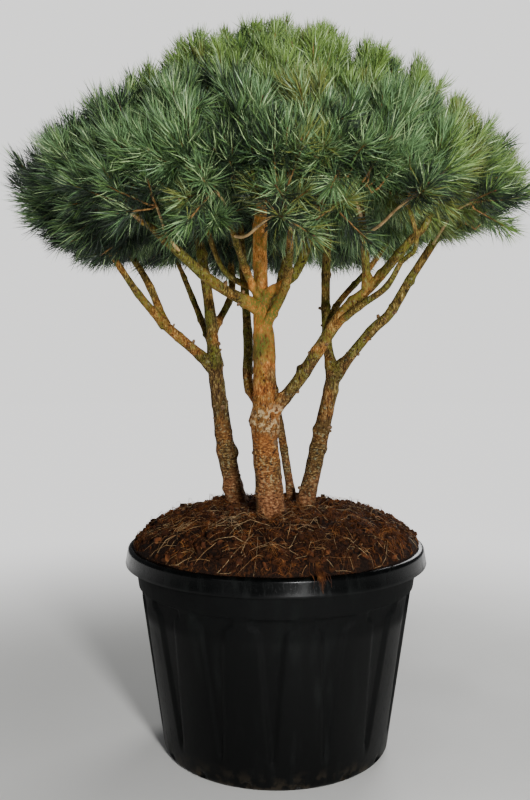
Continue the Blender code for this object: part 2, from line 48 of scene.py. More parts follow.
class Shade:
    # One socket of a material, so that masks and heights can be written as sums
    def __init__(self, tree, socket=None):
        self.tree = tree
        self.socket = socket

    def node(self, kind, settings=None, sockets=None, out=0):
        made = self.tree.nodes.new(kind)
        for name, value in (settings or {}).items():
            if name == "stops":
                fillRamp(made.color_ramp, value)
            else:
                setattr(made, name, value)
        for name, value in (sockets or {}).items():
            if isinstance(value, Shade):
                self.tree.links.new(value.socket, made.inputs[name])
            else:
                made.inputs[name].default_value = value
        return Shade(self.tree, made.outputs[out])

    def math(self, operation, other, swapped=False):
        first, second = (other, self) if swapped else (self, other)
        return self.node("ShaderNodeMath", {"operation": operation}, {0: first, 1: second})

    def __add__(self, other):
        return self.math("ADD", other)

    __radd__ = __add__

    def __sub__(self, other):
        return self.math("SUBTRACT", other)

    def __rsub__(self, other):
        return self.math("SUBTRACT", other, True)

    def __mul__(self, other):
        return self.math("MULTIPLY", other)

    __rmul__ = __mul__

    def spread(self, low, high, to=(0.0, 1.0)):
        # Smoothly from one value to another between low and high, held beyond them
        return self.node("ShaderNodeMapRange", {"interpolation_type": "SMOOTHSTEP", "clamp": True},
                         {"Value": self, "From Min": low, "From Max": high,
                          "To Min": to[0], "To Max": to[1]})

    def colors(self, low, high):
        # This value chooses between two colours
        low, high = (c if isinstance(c, Shade) else (*c, 1.0) for c in (low, high))
        return self.node("ShaderNodeMix", {"data_type": "RGBA"}, {0: self, 6: low, 7: high}, out=2)

    def ramp(self, stops):
        return self.node("ShaderNodeValToRGB", {"stops": stops}, {"Fac": self})

    def stretched(self, scale):
        return self.node("ShaderNodeVectorMath", {"operation": "MULTIPLY"}, {0: self, 1: scale})

    def distance(self, point):
        return self.node("ShaderNodeVectorMath", {"operation": "DISTANCE"}, {0: self, 1: point}, out=1)

    def noise(self, scale, detail=3.0, rough=0.55):
        return self.node("ShaderNodeTexNoise", None,
                         {"Vector": self, "Scale": scale, "Detail": detail, "Roughness": rough})

    def axis(self, index):
        return self.node("ShaderNodeSeparateXYZ", None, {"Vector": self}, out=index)

    def bump(self, strength, distance):
        return self.node("ShaderNodeBump", None,
                         {"Height": self, "Strength": strength, "Distance": distance})


def fillRamp(ramp, stops):
    while len(ramp.elements) < len(stops):
        ramp.elements.new(0.5)
    for element, (place, color) in zip(ramp.elements, stops):
        element.position = place
        element.color = (*color, 1.0)


def newMaterial(name, plain):
    # A material with its uniform values set, and a Shade of its object coordinates
    made = bpy.data.materials.new(name)
    made.use_nodes = True
    shader = made.node_tree.nodes["Principled BSDF"]
    for socket, value in plain.items():
        shader.inputs[socket].default_value = (*value, 1.0) if isinstance(value, tuple) else value
    place = Shade(made.node_tree).node("ShaderNodeTexCoord", out=3)
    return made, place


def wire(made, varying):
    shader = made.node_tree.nodes["Principled BSDF"]
    for socket, value in varying.items():
        made.node_tree.links.new(value.socket, shader.inputs[socket])
    return made


def coirColors(bright):
    stops = ((0.35, (0.05, 0.013, 0.003)), (0.55, (0.15, 0.046, 0.009)), (0.75, (0.31, 0.13, 0.032)))
    return [(place, tuple(v * bright for v in color)) for place, color in stops]


# Looks in one mottled colour: gloss, roughness, the mottling's scale and layers and its colours,
# and for some the fine bumps' scale, layers, strength and height
mottled = dict(
    soilCrumb=(0.12, 0.9, 70.0, 4.0,
               ((0.3, (0.006, 0.0025, 0.001)), (0.6, (0.03, 0.01, 0.003)), (0.8, (0.08, 0.027, 0.007))),
               (300.0, 3.0, 0.5, 0.002)),
    barkChip=(0.15, 0.85, 55.0, 4.0,
              ((0.3, (0.014, 0.005, 0.002)), (0.55, (0.06, 0.018, 0.005)), (0.8, (0.16, 0.06, 0.018))),
              (260.0, 3.0, 0.5, 0.002)),
    darkCoir=(0.2, 0.8, 48.0, 2.0, coirColors(0.45)),
    brightCoir=(0.2, 0.8, 48.0, 2.0, coirColors(1.0)),
    spilledCoirFibre=(0.2, 0.8, 48.0, 2.0, coirColors(0.5)),
    dryNeedle=(0.3, 0.6, 40.0, 2.0,
               ((0.35, (0.13, 0.055, 0.018)), (0.55, (0.28, 0.155, 0.06)), (0.7, (0.5, 0.34, 0.16)))),
    paleRoot=(0.25, 0.7, 60.0, 2.0, ((0.35, (0.19, 0.11, 0.045)), (0.7, (0.46, 0.33, 0.17)))),
    cutStub=(0.2, 0.85, 120.0, 3.0, ((0.3, (0.045, 0.022, 0.009)), (0.7, (0.19, 0.115, 0.055))),
             (260.0, 3.0, 0.5, 0.002)),
    shootBark=(0.3, 0.7, 60.0, 3.0, ((0.35, (0.12, 0.058, 0.016)), (0.65, (0.33, 0.18, 0.055))),
               (320.0, 2.0, 0.4, 0.001)),
    # Fork bark: tan, made paler than the shoots' bark as painted light against the crown's shade
    forkBark=(0.3, 0.7, 60.0, 3.0, ((0.35, (0.22, 0.135, 0.048)), (0.65, (0.52, 0.35, 0.15))),
              (320.0, 2.0, 0.4, 0.001)),
    winterBud=(0.35, 0.55, 180.0, 2.0, ((0.35, (0.085, 0.026, 0.013)), (0.65, (0.19, 0.08, 0.042)))),
)


def mottledLook(name):
    gloss, rough, scale, layers, stops, *bumps = mottled[name]
    made, place = newMaterial(name, {"Specular IOR Level": gloss, "Roughness": rough})
    varying = {"Base Color": place.noise(scale, layers).ramp(stops)}
    for bumpScale, bumpLayers, strength, height in bumps:
        varying["Normal"] = place.noise(bumpScale, bumpLayers).bump(strength, height)
    return wire(made, varying)


# Shapes

def unit(vectors):
    vectors = np.asarray(vectors, float)
    return vectors / np.maximum(np.linalg.norm(vectors, axis=-1, keepdims=True), 1e-12)


def evenTurns(count):
    return 2 * math.pi * np.arange(count) / count


def ringAt(turns, radii, heights):
    # Points round the pot's axis
    return np.stack(np.broadcast_arrays(radii * np.cos(turns), radii * np.sin(turns), heights), -1)


def swing(turns, first, second):
    # Directions turned from the first towards the second
    return np.cos(turns)[..., None] * first + np.sin(turns)[..., None] * second


def softNoise(points, size, seed=0):
    # Smooth noise from -1 to 1 at many points, size the width of its lumps
    points = np.asarray(points, float) / size + 31.7 * seed
    cell = np.floor(points).astype(np.int64)
    part = points - cell
    part = part * part * (3 - 2 * part)
    total = np.zeros(points.shape[:-1])
    for corner in itertools.product((0, 1), repeat=3):
        x, y, z = np.moveaxis(cell + np.array(corner), -1, 0)
        mixed = (x * 73856093) ^ (y * 19349663) ^ (z * 83492791)
        mixed = (mixed * (mixed * mixed * 15731 + 789221) + 1376312589) & 0x7FFFFFFF
        share = np.where(np.array(corner) == 1, part, 1 - part).prod(-1)
        total += share * (mixed / 1073741824.0 - 1)
    return total


def layeredNoise(points, size, layers, seed=0):
    return sum(softNoise(points, size / 2 ** k, seed + k) / 2 ** k for k in range(layers))


def meshPiece(name, points, faceSets, look, smooth=True):
    # A mesh object from points and arrays of equal-sided faces
    mesh = bpy.data.meshes.new(name)
    mesh.vertices.add(len(points))
    mesh.vertices.foreach_set("co", np.asarray(points, np.float32).ravel())
    corners = np.concatenate([np.asarray(faces).ravel() for faces in faceSets])
    sides = np.concatenate([np.full(len(faces), np.shape(faces)[1]) for faces in faceSets])
    mesh.loops.add(len(corners))
    mesh.loops.foreach_set("vertex_index", corners.astype(np.int32))
    mesh.polygons.add(len(sides))
    mesh.polygons.foreach_set("loop_start", (np.cumsum(sides) - sides).astype(np.int32))
    mesh.polygons.foreach_set("use_smooth", np.full(len(sides), smooth))
    mesh.update(calc_edges=True)
    mesh.materials.append(look)
    piece = bpy.data.objects.new(name, mesh)
    bpy.context.scene.collection.objects.link(piece)
    return piece


def keep(piece, slot, *nodes):
    # Puts the piece on the plant in place of the solids it stands for
    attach(piece, "root")
    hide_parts(*nodes)
    print(piece.name, sum(p.loop_total - 2 for p in piece.data.polygons), "triangles")


def ringFaces(rings, columns):
    row = np.arange(rings - 1)[:, None] * columns
    column = np.arange(columns)
    after = (column + 1) % columns
    quads = np.stack((row + column, row + after, row + columns + after, row + columns + column), -1)
    return quads.reshape(-1, 4)


def capFaces(first, columns, middle, upward):
    column = np.arange(columns)
    after = (column + 1) % columns
    a, b = (column, after) if upward else (after, column)
    return np.stack((first + a, first + b, np.full(columns, middle)), 1)


def tubePiece(name, rings, low, high, look):
    # A closed tube from (ring, side, 3) points and the middles of its two ends
    count, sides = rings.shape[:2]
    points = np.vstack((rings.reshape(-1, 3), low, high))
    caps = np.vstack((capFaces(0, sides, len(points) - 2, False),
                      capFaces((count - 1) * sides, sides, len(points) - 1, True)))
    return meshPiece(name, points, (ringFaces(count, sides), caps), look)


def between(a, b, c, d, t):
    # Catmull-Rom: the place t of the way from b to c
    return 0.5 * (2 * b + (c - a) * t + (2 * a - 5 * b + 4 * c - d) * t ** 2
                  + (3 * b - a - 3 * c + d) * t ** 3)


def curveThrough(points, values, step):
    # A smooth line through the points, the same as the solids follow
    points = np.asarray(points, float)
    values = np.asarray(values, float)
    chain = np.vstack((2 * points[0] - points[1], points, 2 * points[-1] - points[-2]))
    places, sizes = [], []
    for i in range(len(points) - 1):
        count = max(2, int(round(np.linalg.norm(chain[i + 2] - chain[i + 1]) / step)))
        t = (np.arange(count) / count)[:, None]
        places.append(between(*chain[i:i + 4], t))
        sizes.append(values[i] + (values[i + 1] - values[i]) * t[:, 0])
    return np.vstack((*places, points[-1:])), np.concatenate((*sizes, values[-1:]))


def smoothStrands(points, steps):
    # Smooth lines through (strand, 4, 3) points, as (strand, steps, 3)
    chain = np.concatenate((2 * points[:, :1] - points[:, 1:2], points,
                            2 * points[:, -1:] - points[:, -2:-1]), 1)
    lines = []
    for place in np.linspace(0, points.shape[1] - 1 - 1e-9, steps):
        i = int(place)
        lines.append(between(*(chain[:, i + k] for k in range(4)), place - i))
    return np.stack(lines, 1)


def runAlong(path):
    # The length of a line up to each of its points
    return np.concatenate(((0,), np.cumsum(np.linalg.norm(np.diff(path, axis=0), axis=1))))


def sharesAlong(path):
    run = runAlong(path)
    return run / run[-1]


def placeAt(path, share):
    shares = sharesAlong(path)
    return np.array([np.interp(share, shares, path[:, k]) for k in range(3)])


def carriedFrames(path):
    # Directions along and across a line, turned as little as can be from ring to ring
    along = unit(np.gradient(path, axis=0))
    side = unit(np.cross(along[0], (0.31, 0.95, 0.02)))
    sides = []
    for direction in along:
        side = unit(side - direction * np.dot(side, direction))
        sides.append(side)
    sides = np.array(sides)
    return along, sides, np.cross(along, sides)


def strandPiece(name, paths, widths, look, sides=3, slot="bark", nodes=None):
    # Many thin tapered strands, paths as (strand, step, 3) and widths the same without the 3
    count, steps = paths.shape[:2]
    along = unit(np.gradient(paths, axis=1))
    side = unit(np.cross(along, (0.13, 0.29, 0.95)))
    across = np.cross(along, side)
    outward = swing(evenTurns(sides), side[:, :, None], across[:, :, None])
    rings = paths[:, :, None] + widths[:, :, None, None] * outward
    every = ringFaces(steps, sides)[None] + (np.arange(count) * steps * sides)[:, None, None]
    piece = meshPiece(name, rings.reshape(-1, 3), (every.reshape(-1, 4),), look)
    keep(piece, slot, *(nodes or foliageNodes))


# Pot: a thin moulded shell with tapered flutes and a rolled-over lip

potLooks = dict(
    height=0.505, footRadius=0.264, heelRadius=0.2805, heelHeight=0.016, taper=0.139,
    lipRadius=0.3705, lipDrop=0.042, lipInner=0.3365, lipWall=0.0035, lipLean=0.0045, lipCorner=0.01,
    flutes=15, fluteTurn=-92.0, fluteDepth=0.0065, fluteBottom=0.05, fluteTop=0.386,
    fluteWideTop=0.061, fluteWideBottom=0.01, panelCorner=0.02, fluteEdge=0.0065,
    bandHeight=0.408, bandStep=0.0042, columns=375, wallRings=84, wobble=0.0008, wall=0.008, floor=0.012,
    holeWidth=0.013, holeHeight=0.009, holeRise=0.013, holeDepth=0.006, sharpAngle=48.0)


def potWall(height):
    return potLooks["heelRadius"] + potLooks["taper"] * (height - potLooks["heelHeight"])


def stepUp(value, low, high):
    share = np.clip((value - low) / (high - low), 0, 1)
    return share * share * (3 - 2 * share)


def fluteSink(turns, height):
    # How deep the wall is drawn in at each turn for one height
    p = potLooks
    pitch = 2 * math.pi / p["flutes"]
    offset = (turns - math.radians(p["fluteTurn"]) + pitch / 2) % pitch - pitch / 2
    arc = np.abs(offset) * potWall(height)
    share = (height - p["fluteBottom"]) / (p["fluteTop"] - p["fluteBottom"])
    half = (p["fluteWideBottom"] + (p["fluteWideTop"] - p["fluteWideBottom"]) * share) / 2
    above = height - (p["fluteTop"] - p["panelCorner"])
    if above > 0:
        half += p["panelCorner"] - math.sqrt(max(p["panelCorner"] ** 2 - above ** 2, 0))
    sunk = stepUp(half - arc, -p["fluteEdge"] / 2, p["fluteEdge"])
    sunk = sunk * stepUp(height, p["fluteBottom"] - 0.004, p["fluteBottom"] + 0.035)
    hole = p["holeWidth"] * (1 + 0.12 * np.cos(5 * offset))
    nearHole = np.hypot((pitch / 2 - np.abs(offset)) * potWall(height) / hole,
                        (height - p["holeRise"]) / p["holeHeight"])
    return p["fluteDepth"] * sunk + p["holeDepth"] * stepUp(1 - nearHole, 0, 0.35)


def potProfile():
    # Radius, height and whether flutes show, from the floor's middle round to the inside
    p = potLooks
    lip, inside = p["lipRadius"], p["lipRadius"] - p["lipWall"]
    top, low = p["height"] - 0.016, p["height"] - p["lipDrop"]
    profile = [(p["footRadius"] * share, 0.0, 0) for share in (0.35, 0.7, 0.9)]
    for k in range(7):
        turn = math.pi / 2 * k / 6
        profile.append((p["footRadius"] + (p["heelRadius"] - p["footRadius"]) * math.sin(turn),
                        p["heelHeight"] * (1 - math.cos(turn)), 1 if k > 2 else 0))
    for height in np.linspace(p["heelHeight"] + 0.004, top, p["wallRings"]):
        band = p["bandStep"] * stepUp(height, p["bandHeight"] - 0.007, p["bandHeight"] + 0.003)
        profile.append((potWall(height) + band, height, 1 if height < p["bandHeight"] else 0))
    profile += [(inside - 0.002, top + 0.002, 0), (inside, top - 0.002, 0), (inside, low + 0.002, 0),
                (inside + 0.001, low, 0), (lip, low + 0.0005, 0), (lip + 0.0006, low + 0.003, 0),
                (lip, low + 0.006, 0)]
    for k in range(9):
        turn = math.pi / 2 * k / 8
        profile.append((lip - p["lipLean"] - p["lipCorner"] * (1 - math.cos(turn)),
                        p["height"] - p["lipCorner"] * (1 - math.sin(turn)), 0))
    profile += [(p["lipInner"] + 0.006, p["height"] - 0.0004, 0), (p["lipInner"], p["height"] - 0.003, 0)]
    return profile + [(potWall(height) - p["wall"], height, 0) for height in (0.48, 0.35, 0.2, p["floor"])]


def makePot():
    p = potLooks
    turns = evenTurns(p["columns"])
    rings = []
    for radius, height, fluted in potProfile():
        sunk = fluteSink(turns, height) if fluted else 0.0
        wobble = p["wobble"] * np.sin(2 * turns + 0.7) * height / p["height"]
        rings.append(ringAt(turns, radius - sunk + wobble, height))
    piece = tubePiece("potShell", np.array(rings), (0, 0, 0), (0, 0, p["floor"]), potPlastic())
    piece.data.set_sharp_from_angle(angle=math.radians(p["sharpAngle"]))
    keep(piece, "pot_plastic", "pot")


def potPlastic():
    # Black plastic with hazy streaks, scuffs, soil dust near the floor and a glossier lip
    made, place = newMaterial("blackPlastic", {"Specular IOR Level": 0.11})
    height = place.axis(2)
    streaks = place.stretched((1.0, 1.0, 0.09)).noise(42.0, 4.0)
    clouds = place.noise(8.0, 5.0, 0.62)
    scratches = place.stretched((1.0, 1.0, 0.35)).noise(210.0, 2.0, 0.7)
    haze = streaks.spread(0.46, 0.72) * clouds.spread(0.38, 0.62)
    scuffs = place.noise(30.0, 6.0, 0.75).spread(0.6, 0.72) * 0.5
    dust = height.spread(0.0, 0.06, (0.7, 0.0)) * place.noise(38.0, 4.0).spread(0.45, 0.62)
    color = (haze + scuffs).colors((0.0007, 0.0009, 0.0009), (0.0034, 0.0041, 0.0038))
    lip = height.spread(0.455, 0.48)
    band = height.spread(0.335, 0.365) * height.spread(0.455, 0.463, (1.0, 0.0))
    rough = 0.44 + band * 0.3 + haze * 0.16 + scratches.spread(0.5, 0.7) * 0.08 - lip * 0.22
    grain = place.noise(420.0, 2.0) * 0.25 + clouds + scratches * 0.2
    return wire(made, {"Base Color": dust.colors(color, (0.026, 0.02, 0.013)), "Roughness": rough,
                       "Normal": grain.bump(0.12, 0.002)})


# Potting soil: a clodded heap with bark bits, coir and dry needles lying on it

soilLooks = dict(
    top=0.59, levelRadius=0.19, columns=260, rings=84, lump=0.0075, crumb=0.0048, ragged=0.014,
    slope=((0.353, 0.5053), (0.35, 0.514), (0.344, 0.523), (0.333, 0.533), (0.3, 0.553), (0.25, 0.573)),
    litterReach=0.35, strawReach=0.342, strandReach=0.352,
    chipSize=(0.0016, 0.0056), chipShape=(0.35, 1.5), chipDents=0.38,
    chips=dict(soilCrumbs=(975, "soilCrumb"), soilChips=(525, "barkChip")),
    clumps=330, clumpFibres=15, clumpSpread=0.011, coirCurl=1.1, coirStep=(0.004, 0.011),
    coirLift=0.0055, coirThick=0.00052,
    straws=dict(dryNeedles=(470, (0.03, 0.09), 0.0005, "dryNeedle"),
                paleRoots=(156, (0.05, 0.13), 0.00066, "paleRoot")),
    spillTurn=-76.0, spillFibres=20, spillThick=0.0006,
    spillWay=((0.338, 0.53), (0.352, 0.514), (0.366, 0.5085), (0.3735, 0.5), (0.374, 0.472)))
inSoil = dict(slot="potting_soil", nodes=("soil",))


def soilHeight(radius):
    s = soilLooks
    radii, heights = zip((0.0, s["top"] + 0.001), (s["levelRadius"], s["top"]), *reversed(s["slope"]))
    return np.interp(radius, radii, heights)


def soilSurface(x, y):
    # Height of the heap's rough top over a place
    s = soilLooks
    flat = np.stack((x, y, np.zeros_like(x)), -1)
    lumps = layeredNoise(flat, 0.055, 2, 5) * s["lump"]
    crumbs = np.abs(layeredNoise(flat, 0.016, 3, 11)) * s["crumb"] * 1.6 - s["crumb"] * 0.6
    radius = np.hypot(x, y)
    edge = stepUp(radius, s["slope"][0][0], s["slope"][0][0] - 0.035)
    return soilHeight(radius) + (lumps + crumbs) * (0.5 + 0.5 * edge)


def makeSoil():
    s = soilLooks
    turns = evenTurns(s["columns"])
    shares = (np.arange(1, s["rings"] + 1) / s["rings"])[:, None] ** 0.85
    ragged = s["ragged"] * layeredNoise(ringAt(turns, 1.0, 0.0), 0.12, 3, 3)
    radii = s["slope"][0][0] * shares * (1 + ragged * shares ** 6)
    rings = ringAt(turns, radii, 0.0)
    rings[..., 2] = soilSurface(rings[..., 0], rings[..., 1])
    rings[-1, :, 2] = potLooks["height"] + 0.0004
    skirt = ringAt(turns, potLooks["lipInner"] - 0.001, potLooks["height"] - 0.02)
    points = np.vstack((skirt, rings[::-1].reshape(-1, 3), (0, 0, soilHeight(0.0))))
    cap = capFaces(s["rings"] * s["columns"], s["columns"], len(points) - 1, True)
    faces = ringFaces(s["rings"] + 1, s["columns"])
    keep(meshPiece("soilHeap", points, (faces, cap), darkSoil()), "potting_soil", "soil")


def scatterPlaces(count, reach, rng):
    radius = reach * np.sqrt(rng.random(count))
    turn = rng.random(count) * 2 * math.pi
    return radius * np.cos(turn), radius * np.sin(turn)


def makeChips(rng):
    # Broken bark and coir crumbs, each a squashed, dented block
    s = soilLooks
    corners = np.array(list(itertools.product((-1, 1), repeat=3)), float)[:, ::-1]
    peaks = 1.25 * np.stack((np.eye(3), -np.eye(3)), 1).reshape(-1, 3)
    block = np.vstack((corners, peaks))
    sides = ((1, 3, 7, 5), (0, 4, 6, 2), (2, 6, 7, 3), (0, 1, 5, 4), (4, 5, 7, 6), (0, 2, 3, 1))
    faces = np.array([(side[k], side[(k + 1) % 4], 8 + peak)
                      for peak, side in enumerate(sides) for k in range(4)])
    for name, (count, look) in s["chips"].items():
        x, y = scatterPlaces(count, s["litterReach"], rng)
        size = rng.uniform(*s["chipSize"], (count, 1, 1)) * rng.uniform(*s["chipShape"], (count, 1, 3))
        dents = 1 + rng.uniform(-s["chipDents"], s["chipDents"], (count, len(block), 3))
        turned = turnShapes(block[None] * dents * size, rng)
        middle = np.stack((x, y, soilSurface(x, y) + rng.uniform(-0.002, 0.002, count)), 1)
        every = (faces[None] + (np.arange(count) * len(block))[:, None, None]).reshape(-1, 3)
        points = (turned + middle[:, None]).reshape(-1, 3)
        keep(meshPiece(name, points, (every,), mottledLook(look), False), "potting_soil", "soil")


def turnShapes(shapes, rng):
    # Turns each shape by chance
    axis = unit(rng.normal(size=(len(shapes), 3)))
    other = unit(np.cross(axis, rng.normal(size=(len(shapes), 3))))
    frames = np.stack((axis, other, np.cross(axis, other)), 2)
    return np.einsum("nij,nkj->nki", frames, shapes)


def layStrands(x, y, bend, span, steps, lift, turn, rng):
    # Strands that follow the heap's surface in shallow arches
    count = len(x)
    paths = np.zeros((count, steps, 3))
    high = rng.uniform(0.2, 1.6, count) * np.where(rng.random(count) < 0.06, 2.6, 1.0)
    for k in range(steps):
        inside = np.minimum(1.0, soilLooks["strandReach"] / np.maximum(np.hypot(x, y), 1e-6))
        x, y = x * inside, y * inside
        rise = lift * math.sin(math.pi * k / (steps - 1)) * high + rng.uniform(0.0004, 0.0014, count)
        paths[:, k] = np.stack((x, y, soilSurface(x, y) + rise), 1)
        turn = turn + bend * 0.5
        x = x + span * np.cos(turn)
        y = y + span * np.sin(turn)
    return paths


def makeFibres(rng):
    # Clumps of curled coir low over the heap, paler dry needles and roots across it
    s = soilLooks
    count = s["clumps"] * s["clumpFibres"]
    x, y = (np.repeat(middle, s["clumpFibres"]) + rng.normal(0, s["clumpSpread"], count)
            for middle in scatterPlaces(s["clumps"], s["litterReach"], rng))
    turn = rng.random(count) * 2 * math.pi
    curl = rng.normal(0, s["coirCurl"], count)
    paths = layStrands(x, y, curl, rng.uniform(*s["coirStep"], count), 4, s["coirLift"], turn, rng)
    widths = s["coirThick"] * rng.uniform(0.6, 1.5, (count, 1)) * np.array((1.0, 0.95, 0.8, 0.4))
    half = count // 2
    strandPiece("coirDark", paths[:half], widths[:half], mottledLook("darkCoir"), **inSoil)
    strandPiece("coirBright", paths[half:], widths[half:], mottledLook("brightCoir"), **inSoil)
    for name, (count, length, width, look) in s["straws"].items():
        x, y = scatterPlaces(count, s["strawReach"], rng)
        turn = rng.random(count) * 2 * math.pi
        bend = rng.normal(0, 0.17, count)
        paths = layStrands(x, y, bend, rng.uniform(*length, count) / 5, 6, 0.004, turn, rng)
        widths = width * rng.uniform(0.7, 1.3, (count, 1)) * np.linspace(1, 0.5, 6)
        strandPiece(name, paths, widths, mottledLook(look), **inSoil)


def makeSpill(rng):
    # A tuft of coir that hangs over the lip at the front, its fibres of uneven length
    s = soilLooks
    count = s["spillFibres"]
    turn = math.radians(s["spillTurn"]) + rng.normal(0, 0.02, count)
    lengths = rng.uniform(0.0, 1.0, count) ** 1.6
    rings = []
    for radius, height in s["spillWay"]:
        turn = turn + rng.normal(0, 0.012, count)
        reach = radius + rng.uniform(0.0, 0.0012, count)
        rings.append(ringAt(turn, reach, height + rng.uniform(0, 0.003, count)))
    rings[-1][:, 2] += (1 - lengths) * 0.028
    widths = s["spillThick"] * rng.uniform(0.6, 1.6, (count, 1)) * np.array((1, 1, 1, 0.9, 0.5))
    strandPiece("spilledCoir", np.stack(rings, 1), widths, mottledLook("spilledCoirFibre"), **inSoil)


def darkSoil():
    made, place = newMaterial("pottingSoil", {"Specular IOR Level": 0.14})
    coarse = place.noise(32.0, 6.0, 0.65)
    fine = place.noise(190.0, 5.0, 0.7)
    color = coarse.ramp([(0.3, (0.004, 0.002, 0.001)), (0.48, (0.016, 0.0055, 0.002)),
                         (0.6, (0.06, 0.019, 0.004)), (0.74, (0.15, 0.052, 0.011))])
    color = fine.spread(0.44, 0.6).colors((0.006, 0.0025, 0.001), color)
    return wire(made, {"Base Color": color, "Roughness": fine.spread(0.3, 0.7, (0.95, 0.75)),
                       "Normal": (fine + coarse).bump(0.9, 0.006)})


# Limbs: the same lines as the solids, with bark relief, knots and collars

stemTable = dict(
    trunk=dict(
        foot=(-0.012, -0.09), flare=0.01, radii=(0.0325, 0.03, 0.0262, 0.0174, 0.016, 0.007),
        way=((-0.027, -0.09, 0.79), (-0.029, -0.076, 0.98), (-0.037, -0.056, 1.13),
             (-0.038, -0.035, 1.29), (-0.018, -0.005, 1.59)),
        knots=((0.222, 0.0075, 0.026), (0.51, 0.004, 0.012))),
    stemLeft=dict(
        foot=(-0.1, 0.1), flare=0.007, radii=(0.0235, 0.0226, 0.019),
        way=((-0.128, 0.1, 0.723), (-0.158, 0.1, 0.95)),
        knots=((0.38, 0.0035, 0.03), (0.97, 0.002, 0.03))),
    stemRight=dict(
        foot=(0.078, 0.08), flare=0.006, radii=(0.0215, 0.0206, 0.0178),
        way=((0.103, 0.08, 0.7), (0.151, 0.08, 0.925)),
        knots=((0.42, 0.003, 0.03), (0.97, 0.002, 0.03))),
    stemBack=dict(
        foot=(0.044, 0.15), flare=0.004, radii=(0.0112, 0.011, 0.0105, 0.01, 0.0085), knots=(),
        way=((0.02, 0.15, 0.74), (-0.004, 0.165, 0.88), (-0.02, 0.195, 1.02), (0.03, 0.305, 1.235))),
)

boughTable = dict(
    leftMain=dict(on="stemLeft", at=1.0, radii=(0.0155, 0.014, 0.0105),
        way=((-0.174, 0.11, 1.117), (-0.21, 0.105, 1.345))),
    leftOuter=dict(on="stemLeft", at=0.96, radii=(0.0142, 0.013, 0.0125),
        way=((-0.225, 0.065, 0.998), (-0.282, 0.03, 1.049))),
    leftOuterFront=dict(on="leftOuter", at=1.0, radii=(0.01, 0.0095, 0.0072),
        way=((-0.334, -0.02, 1.117), (-0.385, -0.062, 1.198))),
    leftOuterRear=dict(on="leftOuter", at=0.96, radii=(0.01, 0.0095, 0.0077),
        way=((-0.318, 0.066, 1.142), (-0.371, 0.112, 1.224))),
    leftThin=dict(on="leftMain", at=0.1, radii=(0.0091, 0.0085, 0.007),
        way=((-0.202, 0.18, 1.075), (-0.255, 0.262, 1.195))),
    leftInner=dict(on="leftMain", at=0.22, radii=(0.01, 0.0095, 0.008),
        way=((-0.118, 0.2, 1.13), (-0.124, 0.3, 1.235))),
    centreBack=dict(on="trunk", at=0.25, radii=(0.0115, 0.0124, 0.0118, 0.0085),
        way=((-0.067, -0.035, 0.9), (-0.07, 0.03, 1.02), (-0.094, 0.165, 1.33))),
    centreLeftFront=dict(on="trunk", at=0.49, radii=(0.0142, 0.0125, 0.01, 0.0065),
        way=((-0.14, -0.14, 1.135), (-0.226, -0.24, 1.207), (-0.276, -0.305, 1.25))),
    centreLeftThin=dict(on="trunk", at=0.53, radii=(0.0075, 0.0065, 0.0055),
        way=((-0.128, -0.052, 1.178), (-0.18, -0.1, 1.325))),
    centreLeftUp=dict(on="trunk", at=0.505, radii=(0.0096, 0.009, 0.0065),
        way=((-0.068, -0.125, 1.16), (-0.104, -0.295, 1.262))),
    centreRight=dict(on="trunk", at=0.225, radii=(0.0155, 0.0152, 0.0139, 0.0114, 0.0087),
        way=((0.052, -0.102, 0.912), (0.148, -0.14, 1.062), (0.216, -0.172, 1.131),
             (0.3, -0.222, 1.232))),
    centreRightUp=dict(on="centreRight", at=0.715, radii=(0.0091, 0.009, 0.0075),
        way=((0.197, -0.168, 1.24), (0.18, -0.125, 1.39))),
    centreRightDark=dict(on="centreRight", at=0.42, radii=(0.0078, 0.0075, 0.0072, 0.006),
        way=((0.146, -0.045, 1.09), (0.238, 0.075, 1.19), (0.3, 0.175, 1.272))),
    centreRightLower=dict(on="centreRight", at=0.5, radii=(0.008, 0.0076, 0.007, 0.0055),
        way=((0.19, -0.205, 1.085), (0.235, -0.262, 1.12), (0.262, -0.308, 1.172))),
    centreRightOlive=dict(on="trunk", at=0.44, radii=(0.0108, 0.01, 0.0075),
        way=((0.02, -0.136, 1.13), (0.028, -0.29, 1.235))),
    centreRightUpper=dict(on="trunk", at=0.515, radii=(0.012, 0.0112, 0.0088),
        way=((0.052, -0.112, 1.177), (0.108, -0.18, 1.365))),
    rightInner=dict(on="stemRight", at=0.98, radii=(0.013, 0.0125, 0.0118, 0.009),
        way=((0.135, 0.108, 1.000), (0.133, 0.16, 1.157), (0.142, 0.15, 1.365))),
    rightOuter=dict(on="stemRight", at=1.0, radii=(0.0141, 0.013, 0.0125, 0.0115, 0.0095),
        way=((0.243, 0.088, 1.029), (0.294, 0.088, 1.078), (0.345, 0.086, 1.165),
             (0.404, 0.072, 1.26))),
)

barkLooks = dict(
    step=0.005, faceWidth=0.0036, relief=0.05, reliefSize=0.045, flake=0.034, flakeSizes=(0.011, 0.006),
    whorlGap=0.082, whorlRise=0.085, whorlWide=0.01, lumpRise=0.36, lumpReach=0.015, trunkLumps=0.3,
    burlHeight=0.812, burlReach=0.036, burlRise=0.0042, flareHeight=0.018, collar=0.55, sink=0.022)


